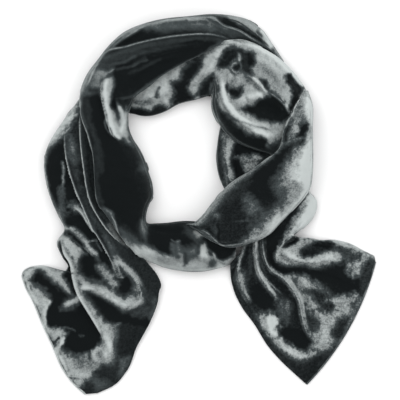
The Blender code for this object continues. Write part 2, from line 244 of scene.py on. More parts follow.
def places(path: Path) -> np.ndarray:
    """Turn a path's grid places into millimetres, one row each."""
    return np.array([plan(place) for place in zip(path[::2], path[1::2])])


def ease(value: np.ndarray, start: float, end: float) -> np.ndarray:
    """Rise smoothly from 0 at start to 1 at end."""
    part = np.clip((value - start) / (end - start), 0.0, 1.0)
    return part * part * (3.0 - 2.0 * part)


def smooth_through(knots: np.ndarray, count: int) -> np.ndarray:
    """Run an even, smooth curve through knots.

    Args:
        knots: One row for each knot; its first two columns set the spacing.
        count: Number of rows wanted.

    Returns:
        The rows along the curve.
    """
    knots = np.asarray(knots, float)
    steps = np.linalg.norm(np.diff(knots[:, :2], axis=0), axis=1)
    along = np.concatenate(((0.0,), np.cumsum(np.maximum(steps, TINY))))
    slopes = np.gradient(knots, along, axis=0)
    wanted = np.linspace(0.0, along[-1], count)
    index = np.clip(np.searchsorted(along, wanted, side="right") - 1, 0, len(along) - 2)
    span = (along[index + 1] - along[index])[:, None]
    t = (wanted - along[index])[:, None] / span
    start, end = knots[index], knots[index + 1]
    leave, arrive = slopes[index] * span, slopes[index + 1] * span
    return (
        (2 * t**3 - 3 * t**2 + 1) * start
        + (t**3 - 2 * t**2 + t) * leave
        + (3 * t**2 - 2 * t**3) * end
        + (t**3 - t**2) * arrive
    )


def felt_noise(points: np.ndarray, size: float, seed: int) -> np.ndarray:
    """Give smooth noise from -1 to 1 at plan points.

    Args:
        points: Places in millimetres, one row each.
        size: Size of its blotches in millimetres.
        seed: Picks the pattern.

    Returns:
        One value for each point.
    """
    lattice = np.random.default_rng(seed).uniform(-1.0, 1.0, (LATTICE, LATTICE))
    scaled = points / size + 0.5 * LATTICE
    base = np.floor(scaled).astype(int)
    part = scaled - base
    part = part * part * (3.0 - 2.0 * part)
    x0, y0 = base[:, 0] % LATTICE, base[:, 1] % LATTICE
    x1, y1 = (x0 + 1) % LATTICE, (y0 + 1) % LATTICE
    low = lattice[x0, y0] * (1 - part[:, 0]) + lattice[x1, y0] * part[:, 0]
    high = lattice[x0, y1] * (1 - part[:, 0]) + lattice[x1, y1] * part[:, 0]
    return low * (1 - part[:, 1]) + high * part[:, 1]


@dataclass(frozen=True)
class Nearness:
    """Where plan points lie beside a path."""

    points: np.ndarray  # indexes of the points within reach
    distance: np.ndarray
    side: np.ndarray  # positive to the left of the path
    at: np.ndarray  # from 0 to 1 along the path
    normal: np.ndarray  # unit direction to the left


def beside(path: Path, points: np.ndarray, reach: float) -> Nearness:
    """Find the points within reach of a path, and where they lie beside it.

    Args:
        path: Two or more places on the plan.
        points: Places in millimetres, one row each.
        reach: How far from the path points still count.

    Returns:
        Where the points within reach lie.
    """
    knots = places(path)
    line = smooth_through(knots, LINE_POINTS * len(knots))
    low, high = line.min(0) - reach, line.max(0) + reach
    near = np.flatnonzero(((points > low) & (points < high)).all(1))
    start, step = line[:-1], np.diff(line, axis=0)
    length = np.linalg.norm(step, axis=1)
    along = np.concatenate(((0.0,), np.cumsum(length)))
    offset = points[near, None, :] - start[None]
    t = np.clip((offset * step[None]).sum(2) / (length**2)[None], 0.0, 1.0)
    away = offset - t[..., None] * step[None]
    distance = np.linalg.norm(away, axis=2)
    best = distance.argmin(axis=1)
    pick = np.arange(len(near))
    normal = np.stack((-step[best, 1], step[best, 0]), axis=1) / length[best, None]
    return Nearness(
        near,
        distance[pick, best],
        (away[pick, best] * normal).sum(1),
        (along[best] + t[pick, best] * length[best]) / along[-1],
        normal,
    )


def inside(outline: Path, points: np.ndarray, reach: float) -> tuple[np.ndarray, np.ndarray]:
    """Measure how far points lie inside an outline.

    Args:
        outline: Its corners on the plan.
        points: Places in millimetres, one row each.
        reach: How far outside points still count.

    Returns:
        The indexes of the points within reach, and their depths, which are negative outside.
    """
    corners = places(outline)
    low, high = corners.min(0) - reach, corners.max(0) + reach
    near = np.flatnonzero(((points > low) & (points < high)).all(1))
    spot = points[near, None, :]
    start, end = corners[None], np.roll(corners, -1, axis=0)[None]
    step = end - start
    t = np.clip(((spot - start) * step).sum(2) / (step**2).sum(2), 0.0, 1.0)
    distance = np.linalg.norm(spot - start - t[..., None] * step, axis=2).min(1)
    crosses = (start[..., 1] > spot[..., 1]) != (end[..., 1] > spot[..., 1])
    rise = np.where(step[..., 1] == 0.0, 1.0, step[..., 1])
    reached = start[..., 0] + (spot[..., 1] - start[..., 1]) * step[..., 0] / rise
    within = (crosses & (spot[..., 0] < reached)).sum(1) % 2 == 1
    return near, np.where(within, distance, -distance)


@dataclass
class Heap:
    """The height of the cloth laid down so far, on a square raster."""

    half: float = 300.0  # how far it reaches each way
    cell: float = 1.5

    def __post_init__(self) -> None:
        """Start with a bare table."""
        count = int(2 * self.half / self.cell)
        self.height = np.zeros((count, count))

    def cells(self, place: np.ndarray) -> tuple[np.ndarray, np.ndarray]:
        """Find the raster cells of plan places.

        Args:
            place: Places in millimetres, in the last axis.

        Returns:
            The cells' indexes along x and along y.
        """
        index = ((place + self.half) / self.cell).astype(int)
        index = np.clip(index, 0, self.height.shape[0] - 1)
        return index[..., 0], index[..., 1]

    def add(self, place: np.ndarray, height: np.ndarray) -> None:
        """Lay a grid of cloth on the heap.

        Args:
            place: The plan places of its vertices, in rows and columns.
            height: Their heights.
        """
        for a in SAMPLED:
            for b in SAMPLED:
                spot = self._between(place, a, b)
                level = self._between(height[..., None], a, b)[..., 0]
                np.maximum.at(self.height, self.cells(spot), level)

    @staticmethod
    def _between(grid: np.ndarray, a: float, b: float) -> np.ndarray:
        """Sample a grid at a part of the way to the next row and column."""
        rows = grid[:-1] * (1 - a) + grid[1:] * a
        return rows[:, :-1] * (1 - b) + rows[:, 1:] * b

    def under(self, place: np.ndarray, reach: int = 3) -> np.ndarray:
        """Give the height to clear at plan places.

        Args:
            place: Places in millimetres, in the last axis.
            reach: How many cells round a place count too.

        Returns:
            One height for each place.
        """
        wide = self.height.copy()
        for _ in range(reach):
            for axis in (0, 1):
                wide = np.maximum(wide, np.maximum(np.roll(wide, 1, axis), np.roll(wide, -1, axis)))
        return wide[self.cells(place)]


@dataclass(frozen=True)
class CrushedPile:
    """Crushed velvet: near-black where its pile stands up, pale and silvery where it is laid over, or where
    light and shade are painted into its tone.
    """

    name: str = "crushed_velvet"
    deep: tuple[float, float, float] = (0.0030, 0.0045, 0.0050)
    slate: tuple[float, float, float] = (0.050, 0.060, 0.062)
    silver: tuple[float, float, float] = (0.46, 0.495, 0.49)
    sheen_tint: tuple[float, float, float] = (0.80, 0.90, 0.90)
    sheen: float = 0.30
    sheen_roughness: float = 0.32
    speckle_scale: float = 500.0
    least_speckle: float = 0.16
    half_speckle: float = 3.6  # added in full, times a quarter, on pile laid halfway
    mottle_scale: float = 230.0
    pile_scale: float = 2400.0
    detail: float = 3.0
    noise_roughness: float = 0.6
    pile_detail: float = 2.0
    coarse_part: float = 0.6
    fine_part: float = 0.4
    deep_at: float = 0.04
    slate_at: float = 0.40
    silver_at: float = 0.92
    roughness: float = 0.78
    gloss: float = 0.08
    relief: float = 0.55
    relief_depth: float = 0.0009

    def make(self) -> bpy.types.Material:
        """Build the material's nodes.

        Returns:
            The velvet, which reads the laid pile, with the light and shade painted into it, from the mesh.
        """
        material = bpy.data.materials.new(self.name)
        material.use_nodes = True
        tree = material.node_tree
        shader = tree.nodes["Principled BSDF"]
        shader.inputs["Roughness"].default_value = self.roughness
        shader.inputs["Specular IOR Level"].default_value = self.gloss
        shader.inputs["Sheen Weight"].default_value = self.sheen
        shader.inputs["Sheen Roughness"].default_value = self.sheen_roughness
        shader.inputs["Sheen Tint"].default_value = (*self.sheen_tint, 1.0)
        place = tree.nodes.new("ShaderNodeTexCoord").outputs["Object"]
        pile_and_painted_light = tree.nodes.new("ShaderNodeAttribute")
        pile_and_painted_light.attribute_name = "pile_and_painted_light"
        speckle = self._noise(tree, place, self.speckle_scale, self.detail)
        mottle = self._noise(tree, place, self.mottle_scale, self.detail)
        grain = self._mix(tree, speckle, mottle, shift=-NOISE_MIDDLE)
        laid = self._speckled(tree, pile_and_painted_light.outputs["Fac"], grain)
        ramp = tree.nodes.new("ShaderNodeValToRGB")
        ramp.color_ramp.interpolation = "LINEAR"
        ramp.color_ramp.elements[0].position = self.deep_at
        ramp.color_ramp.elements[1].position = self.silver_at
        ramp.color_ramp.elements.new(self.slate_at)
        for element, colour in zip(ramp.color_ramp.elements, (self.deep, self.slate, self.silver)):
            element.color = (*colour, 1.0)
        tree.links.new(laid, ramp.inputs["Fac"])
        tree.links.new(ramp.outputs["Color"], shader.inputs["Base Color"])
        pile = self._noise(tree, place, self.pile_scale, self.pile_detail)
        bump = tree.nodes.new("ShaderNodeBump")
        bump.inputs["Strength"].default_value = self.relief
        bump.inputs["Distance"].default_value = self.relief_depth
        tree.links.new(self._mix(tree, speckle, pile), bump.inputs["Height"])
        tree.links.new(bump.outputs["Normal"], shader.inputs["Normal"])
        return material

    def _speckled(self, tree: bpy.types.NodeTree, pile_and_painted_light: bpy.types.NodeSocket,
                  grain: bpy.types.NodeSocket) -> bpy.types.NodeSocket:
        """Break the pile up into specks, most where it is laid halfway over.

        Args:
            tree: The material's nodes.
            pile_and_painted_light: How light the pile is laid, with painted light and shade in it.
            grain: The noise of the specks, about 0.

        Returns:
            How light the pile is, specks and all.
        """
        half_laid = self._times(tree, pile_and_painted_light, self._scaled(tree, pile_and_painted_light, -1.0, 1.0))
        amount = self._scaled(tree, half_laid, self.half_speckle, self.least_speckle)
        worn = tree.nodes.new("ShaderNodeAttribute")
        worn.attribute_name = "worn"
        specks = self._times(tree, self._times(tree, grain, amount), worn.outputs["Fac"])
        return self._scaled(tree, specks, 1.0, pile_and_painted_light)

    @staticmethod
    def _times(tree: bpy.types.NodeTree, first: bpy.types.NodeSocket,
               second: bpy.types.NodeSocket) -> bpy.types.NodeSocket:
        """Multiply two values.

        Args:
            tree: The material's nodes.
            first: One value.
            second: The other.

        Returns:
            Their product.
        """
        product = tree.nodes.new("ShaderNodeMath")
        product.operation = "MULTIPLY"
        tree.links.new(first, product.inputs[0])
        tree.links.new(second, product.inputs[1])
        return product.outputs["Value"]

    @staticmethod
    def _scaled(tree: bpy.types.NodeTree, value: bpy.types.NodeSocket, part: float,
                shift: bpy.types.NodeSocket | float = 0.0) -> bpy.types.NodeSocket:
        """Scale a value and shift it.

        Args:
            tree: The material's nodes.
            value: The value.
            part: What it is multiplied by.
            shift: What is then added, another value or a number.

        Returns:
            The result.
        """
        node = tree.nodes.new("ShaderNodeMath")
        node.operation = "MULTIPLY_ADD"
        node.inputs[1].default_value = part
        if isinstance(shift, bpy.types.NodeSocket):
            tree.links.new(shift, node.inputs[2])
        else:
            node.inputs[2].default_value = shift
        tree.links.new(value, node.inputs[0])
        return node.outputs["Value"]

    def _noise(self, tree: bpy.types.NodeTree, place: bpy.types.NodeSocket, scale: float,
               detail: float) -> bpy.types.NodeSocket:
        """Add a noise on the object's own coordinates.

        Args:
            tree: The material's nodes.
            place: Those coordinates.
            scale: Its blotches to a metre.
            detail: How many finer layers it has.

        Returns:
            Its value, from 0 to 1.
        """
        noise = tree.nodes.new("ShaderNodeTexNoise")
        noise.inputs["Scale"].default_value = scale
        noise.inputs["Detail"].default_value = detail
        noise.inputs["Roughness"].default_value = self.noise_roughness
        tree.links.new(place, noise.inputs["Vector"])
        return noise.outputs["Fac"]

    def _mix(self, tree: bpy.types.NodeTree, coarse: bpy.types.NodeSocket, fine: bpy.types.NodeSocket,
             shift: float = 0.0) -> bpy.types.NodeSocket:
        """Mix two noises in their parts.

        Args:
            tree: The material's nodes.
            coarse: The larger part.
            fine: The smaller part.
            shift: What is added to both.

        Returns:
            The mixed noise.
        """
        return self._scaled(tree, fine, self.fine_part, self._scaled(tree, coarse, self.coarse_part, shift))


@dataclass
class HemRoll:
    """The soft roll where an end of the strip is turned in."""

    name: str
    radius: float = 1.4
    sides: int = 8
    spacing: float = 1.5
    uneven: float = 0.5
    uneven_scale: float = 160.0
    tone: float = 0.3
    seed: float = 3.0  # picks the pattern of its unevenness

    def build(self, line: np.ndarray, finish: bpy.types.Material) -> bpy.types.Object:
        """Roll the hem along a line.

        Args:
            line: Its places and heights in millimetres.
            finish: The velvet.

        Returns:
            The roll, as a plain mesh.
        """
        curve = bpy.data.curves.new(f"{self.name}_line", "CURVE")
        curve.dimensions = "3D"
        spline = curve.splines.new("POLY")
        spline.points.add(len(line) - 1)
        spline.points.foreach_set("co", np.column_stack((line * MM, np.ones(len(line)))).reshape(-1))
        source = bpy.data.objects.new(f"{self.name}_source", curve)
        bpy.context.scene.collection.objects.link(source)
        modifier = source.modifiers.new("roll", "NODES")
        modifier.node_group = self._tree()
        sizes = {"Radius": self.radius * MM, "Spacing": self.spacing * MM, "Uneven": self.uneven * MM,
                 "Tone": self.tone, "Seed": self.seed, "Finish": finish}
        for socket in modifier.node_group.interface.items_tree:
            if socket.name in sizes:
                modifier[socket.identifier] = sizes[socket.name]
        graph = bpy.context.evaluated_depsgraph_get()
        mesh = bpy.data.meshes.new_from_object(source.evaluated_get(graph), depsgraph=graph)
        bpy.data.objects.remove(source)
        roll = bpy.data.objects.new(self.name, mesh)
        bpy.context.scene.collection.objects.link(roll)
        mesh.shade_smooth()
        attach(roll, "root")
        log.info("%s: %d faces", self.name, len(mesh.polygons))
        return roll

    def _tree(self) -> bpy.types.NodeTree:
        """Build the nodes that sweep a soft, uneven roll along a curve.

        Returns:
            The node tree, with its sizes and finish as inputs.
        """
        tree = bpy.data.node_groups.new("hem_roll", "GeometryNodeTree")
        face = tree.interface
        face.new_socket("Geometry", in_out="INPUT", socket_type="NodeSocketGeometry")
        for name in ("Radius", "Spacing", "Uneven", "Tone", "Seed"):
            face.new_socket(name, in_out="INPUT", socket_type="NodeSocketFloat")
        face.new_socket("Finish", in_out="INPUT", socket_type="NodeSocketMaterial")
        face.new_socket("Geometry", in_out="OUTPUT", socket_type="NodeSocketGeometry")
        given, result = tree.nodes.new("NodeGroupInput"), tree.nodes.new("NodeGroupOutput")
        even = tree.nodes.new("GeometryNodeResampleCurve")
        even.mode = "LENGTH"
        ring = tree.nodes.new("GeometryNodeCurvePrimitiveCircle")
        ring.inputs["Resolution"].default_value = self.sides
        sweep = tree.nodes.new("GeometryNodeCurveToMesh")
        sweep.inputs["Fill Caps"].default_value = True
        noise = tree.nodes.new("ShaderNodeTexNoise")
        noise.noise_dimensions = "4D"
        noise.inputs["Scale"].default_value = self.uneven_scale
        centred = tree.nodes.new("ShaderNodeMath")
        centred.operation = "SUBTRACT"
        centred.inputs[1].default_value = NOISE_MIDDLE
        amount = tree.nodes.new("ShaderNodeMath")
        amount.operation = "MULTIPLY"
        normal = tree.nodes.new("GeometryNodeInputNormal")
        push = tree.nodes.new("ShaderNodeVectorMath")
        push.operation = "SCALE"
        move = tree.nodes.new("GeometryNodeSetPosition")
        shade = tree.nodes.new("ShaderNodeMath")
        shade.operation = "MULTIPLY_ADD"
        store = tree.nodes.new("GeometryNodeStoreNamedAttribute")
        store.inputs["Name"].default_value = "pile_and_painted_light"
        real = tree.nodes.new("GeometryNodeRealizeInstances")
        dress = tree.nodes.new("GeometryNodeSetMaterial")
        for start, end in (
            (given.outputs["Geometry"], even.inputs["Curve"]),
            (given.outputs["Spacing"], even.inputs["Length"]),
            (given.outputs["Radius"], ring.inputs["Radius"]),
            (even.outputs["Curve"], sweep.inputs["Curve"]),
            (ring.outputs["Curve"], sweep.inputs["Profile Curve"]),
            (given.outputs["Seed"], noise.inputs["W"]),
            (noise.outputs["Fac"], centred.inputs[0]),
            (centred.outputs["Value"], amount.inputs[0]),
            (given.outputs["Uneven"], amount.inputs[1]),
            (normal.outputs["Normal"], push.inputs[0]),
            (amount.outputs["Value"], push.inputs["Scale"]),
            (sweep.outputs["Mesh"], move.inputs["Geometry"]),
            (push.outputs["Vector"], move.inputs["Offset"]),
            (centred.outputs["Value"], shade.inputs[0]),
            (given.outputs["Tone"], shade.inputs[1]),
            (given.outputs["Tone"], shade.inputs[2]),
            (move.outputs["Geometry"], store.inputs["Geometry"]),
            (shade.outputs["Value"], store.inputs["Value"]),
            (store.outputs["Geometry"], real.inputs["Geometry"]),
            (real.outputs["Geometry"], dress.inputs["Geometry"]),
            (given.outputs["Finish"], dress.inputs["Material"]),
            (dress.outputs["Geometry"], result.inputs["Geometry"]),
        ):
            tree.links.new(start, end)
        return tree


@dataclass
class Cloth:
    """One piece of the strip, from its sections, folds and strokes."""

    name: str
    nodes: tuple[str, ...]
    held: Held
    flat: tuple[float, float]
    rests_on: tuple[str, ...] = ()
    area: float | None = None
    base_tone: float = 0.10
    # painted light: how much lighter the pile is painted where the top face slopes
    painted_slope_light: float = 0.35
    side_tone: float = 0.7  # of the lightest pile down the sides
    relief: float = 0.38  # how much painted light and shade follows the way the cloth faces
    crush: float = 0.8  # height of the crushed ripples
    spacing: float = 1.7  # between neighbouring vertices
    hem_tone: float = 0.3
    worn: float = 0.6  # how far its pile is broken up into specks
    seed: int = 1

    def sections(self) -> tuple[Section, ...]:
        """List the sections across the strip, along its way."""
        raise NotImplementedError

    def folds(self) -> tuple[Fold, ...]:
        """List the folds of this piece."""
        raise NotImplementedError

    def strokes(self) -> tuple[Stroke | Patch, ...]:
        """List how its pile is laid, and where light and shade are painted on it, from the first stroke to
        the last.
        """
        raise NotImplementedError

    def lay_out(self) -> None:
        """Work out the plan places and the plain rounded heights of the top face."""
        knots = []  # in columns: the middle, the left and the right edge, and the six sizes
        for s in self.sections():
            left, right = plan(s.left), plan(s.right)
            sizes = (s.crown, s.rim_left, s.rim_right, s.thick, s.bow, s.over)
            knots.append((*(left + right) / 2, *left, *right, *sizes))
        knots = np.array(knots)
        length = np.linalg.norm(np.diff(knots[:, :2], axis=0), axis=1).sum()
        width = np.linalg.norm(knots[:, 4:6] - knots[:, 2:4], axis=1).max()
        rows = smooth_through(knots, int(length / self.spacing) + 1)
        turn = EDGE_TURN * np.linspace(0.0, 1.0, EDGE_COLUMNS, endpoint=False) ** 2
        even = np.linspace(EDGE_TURN, 1.0 - EDGE_TURN, int(width / self.spacing) + 1)
        u = np.concatenate((turn, even, 1.0 - turn[::-1]))
        self.arch = (1.0 - np.abs(2.0 * u - 1.0) ** ROUNDING) ** (1.0 / ROUNDING)
        left, right = rows[:, None, 2:4], rows[:, None, 4:6]
        place = left + (right - left) * u[None, :, None]
        chord = right[:, 0] - left[:, 0]
        ahead = np.stack((-chord[:, 1], chord[:, 0]), axis=1)
        ahead /= np.linalg.norm(ahead, axis=1)[:, None]
        crown, rim_left, rim_right, thick, bow, over = rows[:, 6:].T[..., None]
        bow = bow * (1.0 - (2.0 * u - 1.0) ** 2)[None]
        self.place = place + ahead[:, None] * bow[..., None]
        rim = rim_left * (1.0 - u)[None] + rim_right * u[None]
        self.height = rim + (crown - rim) * self.arch[None]
        self.thick = np.repeat(thick, len(u), axis=1)
        self.over = np.clip(over[:, 0], 0.0, 1.0)

    def raise_folds(self) -> None:
        """Lift the folds out of the top face, lean their crests over, and work out the painted highlight
        along each crest.
        """
        flat = self.place.reshape(-1, 2)
        lift = np.zeros(len(flat))
        lean = np.zeros_like(flat)
        self.painted_crest_highlights = np.zeros(len(flat))
        for fold in self.folds():
            near = beside(fold.path, flat, max(fold.left, fold.right))
            width = np.where(near.side > 0, fold.left, fold.right)
            part = np.clip(near.distance / width, 0.0, 1.0)
            ends = np.sin(0.5 * math.pi * np.clip(np.minimum(near.at, 1.0 - near.at) / fold.fade, 0, 1))
            shape = 0.5 * (1.0 + np.cos(math.pi * part)) * ends
            lift[near.points] += fold.rise * shape
            lean[near.points] += near.normal * (fold.hang * shape)[:, None]
            glows = np.where(near.side * fold.glow > 0, CREST_SHINE + abs(fold.glow), CREST_SHINE)
            crest = np.exp(-((near.distance / glows) ** CREST_FALL)) * ends * fold.painted_crest_highlight
            self.painted_crest_highlights[near.points] = np.maximum(self.painted_crest_highlights[near.points], crest)
        inward = np.sqrt(self.arch)[None] if self.thick.min() > WALL else 1.0
        lift = lift.reshape(self.height.shape) * inward
        fall = np.minimum(self.arch * LEAN_EDGE, 1.0)[None]
        self.height = np.maximum(self.height + lift, WALL)
        self.footing = self.place
        self.place = self.place + lean.reshape(self.place.shape) * fall[..., None]

    def crumple(self) -> None:
        """Press small crushed ripples into the top face."""
        flat = self.place.reshape(-1, 2)
        wander = [felt_noise(flat, RIPPLE_WANDER_SIZE, self.seed + Pattern.RIPPLE_WANDER + k) for k in (0, 1)]
        moved = flat + RIPPLE_WANDER * np.stack(wander, axis=1)
        ripple = sum(share * felt_noise(moved, size, self.seed + Pattern.RIPPLE + k)
                     for k, (size, share) in enumerate(RIPPLES))
        inward = np.minimum(self.arch * RIPPLE_EDGE, 1.0)[None]
        self.height = self.height + self.crush * ripple.reshape(self.height.shape) * inward
        self.height = np.maximum(self.height, WALL)

    def settle(self, heap: Heap) -> None:
        """Lay the piece on the heap below it.

        Args:
            heap: The cloth that is already laid down.
        """
        ground = heap.under(self.place) * self.over[:, None]
        self.ground = np.where(ground > BARE, ground + SEAT_GAP, 0.0)
        self.height = np.maximum(self.height, self.ground + WALL)

    def stack_sides(self) -> None:
        """Press the steep sides into soft layers, one over the other."""
        upright, shape = self._upright(), self.height.shape
        steep = ease(1.0 - upright[..., 2], *LAYER_LEAN) * (self.thick > THIN_CLOTH)
        out = upright[..., :2] / np.maximum(np.linalg.norm(upright[..., :2], axis=2)[..., None], LEAST_OUT)
        bend = felt_noise(self._side_places(tall=1.0), LAYER_BEND_SIZE, self.seed + Pattern.LAYER_BEND)
        phase = (self.height + LAYER_BEND * bend.reshape(shape)) / LAYER_HEIGHT
        uneven = felt_noise(self._side_places(tall=2.0), LAYER_UNEVEN_SIZE, self.seed + Pattern.LAYER_UNEVEN)
        depth = LAYER_DEPTH + LAYER_UNEVEN * uneven.reshape(shape)
        fold = (np.abs(np.sin(math.pi * phase)) ** LAYER_ROUND - LAYER_MIDDLE) * depth
        self.place = self.place + out * (steep * fold)[..., None]

    def _side_places(self, tall: float) -> np.ndarray:
        """Unroll the piece: how far each vertex is along the strip, and how high.

        Args:
            tall: How much the heights are stretched.

        Returns:
            One row for each vertex.
        """
        middle = self.place[:, self.place.shape[1] // 2]
        way = np.concatenate(((0.0,), np.cumsum(np.linalg.norm(np.diff(middle, axis=0), axis=1))))
        side = np.linspace(0.0, SIDES_APART, self.height.shape[1])[None]
        return np.stack((way[:, None] + side, tall * self.height), axis=2).reshape(-1, 2)

    def _uneven_pile(self, way: np.ndarray, height: np.ndarray, size: float, floor: float,
                     pattern: Pattern) -> np.ndarray:
        """Give the tone of the uneven pile down the sides.

        Args:
            way: How far along the strip its places are.
            height: Their heights.
            size: Size of its blotches.
            floor: Share of the light that the darkest blotch has.
            pattern: That of the blotches. The next one is for the spots.

        Returns:
            The tone at each place.
        """
        blotches = felt_noise(np.column_stack((way, BLOTCH_STRETCH * height)), size, self.seed + pattern)
        spots = felt_noise(np.column_stack((way, SPOT_STRETCH * height)), SPOT_SIZE, self.seed + pattern + 1)
        return self.side_tone * (floor + (1.0 - floor) * ease(blotches + SPOT_SHARE * spots, *BLOTCH_EDGE))

    def paint(self) -> None:
        """Set how light the pile looks over the top face, with light and shade painted in by its slopes, rims
        and crests.
        """
        upright = self._upright()
        lean = 1.0 - upright[..., 2]
        # painted light on the slopes, lighter than the flat tops
        tone = self.base_tone + self.painted_slope_light * ease(lean, *SLOPE_LEAN)
        tone = self._lay_pile(tone.reshape(-1))
        # painted light and shade by the way each slope faces on the plan
        facing = (upright[..., :2] @ np.array(SHINE_WAY)).reshape(-1)
        tone += self.relief * facing * (SHINE_LEAST + tone)
        way, height = self._side_places(tall=1.0).T
        uneven = self._uneven_pile(way, height, BLOTCH_SIZE, BLOTCH_FLOOR, Pattern.BLOTCH)
        steep = (ease(lean, *STEEP_LEAN) * (self.thick > THIN_CLOTH)).reshape(-1)
        followed = uneven * np.clip(STEEP_LEAST + STEEP_FOLLOW * tone, 0.0, STEEP_MOST)
        tone += (followed - tone) * STEEP_SHARE * steep
        tone += (SIDE_DIM * uneven - tone) * SIDE_SHARE * ease(lean, *SIDE_LEAN).reshape(-1)
        # painted rim highlight on slopes that face left
        rim = ease(lean, *RIM_LEAN) * np.maximum(-upright[..., 0], RIM_LEAST)
        tone += PAINTED_RIM_HIGHLIGHT * rim.reshape(-1)
        # painted highlight along the fold crests
        tone = np.maximum(tone, self.painted_crest_highlights)
        self.tone = np.clip(tone, 0.0, 1.0).reshape(self.height.shape)

    def _upright(self) -> np.ndarray:
        """Work out the top face's unit normals.

        Returns:
            One normal for each vertex, with its upright part last.
        """
        surface = np.dstack((self.place, self.height))
        normal = np.cross(np.gradient(surface, axis=1), np.gradient(surface, axis=0))
        normal *= np.where(normal[..., 2:] < 0.0, -1.0, 1.0)
        return normal / np.maximum(np.linalg.norm(normal, axis=2)[..., None], TINY)

    def _lay_pile(self, tone: np.ndarray) -> np.ndarray:
        """Lay the strokes and patches over a first tone, with uneven edges. They lay the pile and paint light
        and shade.

        Args:
            tone: The tone of each vertex, which is changed.

        Returns:
            The same tones, with the pile laid.
        """
        flat = self.place.reshape(-1, 2)
        wander = [felt_noise(flat, EDGE_WANDER_SIZE, self.seed + Pattern.EDGE_WANDER + k) for k in (0, 1)]
        moved = flat + EDGE_WANDER * np.stack(wander, axis=1)
        torn = sum(deep * felt_noise(flat, size, self.seed + Pattern.TEAR + k)
                   for k, (size, deep) in enumerate(TEARS))
        share = EVEN_TEAR + (1.0 - EVEN_TEAR) * self.worn
        for item in self.strokes():
            if isinstance(item, Stroke):
                blur = item.width * STEP
                near = beside(item.path, moved, EDGE_REACH * blur)
                picked, depth = near.points, blur - near.distance
            else:
                blur = PATCH_BLUR * item.blur * STEP
                picked, depth = inside(item.outline, moved, EDGE_REACH * blur)
            ragged = torn[picked] * min(TEAR_SHARE * blur, TEAR_MOST) * share
            mask = ease(depth + ragged, -blur, blur)
            tone[picked] += (item.tone - tone[picked]) * mask
        return tone

    def _spread(self, axis: int) -> np.ndarray:
        """Give the distance between neighbouring vertices along a grid axis."""
        step = np.gradient(self.place, axis=axis)
        return np.maximum(np.linalg.norm(step, axis=2), LEAST_SPREAD)

    def make_mesh(self) -> bpy.types.Mesh:
        """Close the piece with its layered sides and its underside.

        Returns:
            The closed mesh, in metres, with its pile tone, painted light and shade included, as attributes.
        """
        slope = np.hypot(np.gradient(self.height, axis=0) / self._spread(0),
                         np.gradient(self.height, axis=1) / self._spread(1))
        wall = self.thick * np.sqrt(1.0 + np.minimum(slope, STEEPEST) ** 2)
        foot = np.maximum(self.ground, self.height - wall)
        grid = np.arange(self.height.size).reshape(self.height.shape)
        ring = self._rim(grid.shape)
        points = [np.dstack((self.place, self.height)).reshape(-1, 3)]
        tones = [self.tone.reshape(-1)]
        quads = [self._quads(grid)]
        before, first = grid[ring], grid.size
        for ring_points, ring_tones in self._side(ring, foot):
            points.append(ring_points)
            tones.append(ring_tones)
            after = first + np.arange(len(ring_points))
            quads.append(self._band(before, after))
            before, first = after, first + len(after)
        thin = (self.thick < THIN_CLOTH)[..., None]
        tucked = self._inwards() * np.minimum(TUCK * (self.height - foot)[..., None], TUCK_MOST)
        foot_place = np.where(thin, self.place, self.footing) + tucked
        points.append(np.dstack((foot_place, foot)).reshape(-1, 3))
        tones.append(np.full(foot.size, UNDERSIDE_TONE))
        under = grid + first
        quads.append(self._band(before, under[ring]))
        quads.append(self._quads(under)[:, ::-1])
        mesh = bpy.data.meshes.new(self.name)
        mesh.from_pydata(np.concatenate(points) * MM, [], np.concatenate(quads).tolist())
        tones = np.concatenate(tones)
        # the tone holds the laid pile and the painted light and shade
        for label, values in (("pile_and_painted_light", tones), ("worn", np.full(len(tones), self.worn))):
            attribute = mesh.attributes.new(label, "FLOAT", "POINT")
            attribute.data.foreach_set("value", values)
        mesh.update()
        mesh.shade_smooth()
        return mesh

    @staticmethod
    def _rim(shape: tuple[int, int]) -> tuple[np.ndarray, np.ndarray]:
        """Go once round a grid's rim.

        Args:
            shape: The grid's rows and columns.

        Returns:
            The rows and the columns of the rim's vertices.
        """
        rows, columns = shape
        order = [(0, c) for c in range(columns)]
        order += [(r, columns - 1) for r in range(1, rows)]
        order += [(rows - 1, c) for c in range(columns - 2, -1, -1)]
        order += [(r, 0) for r in range(rows - 2, 0, -1)]
        index = np.array(order)
        return index[:, 0], index[:, 1]

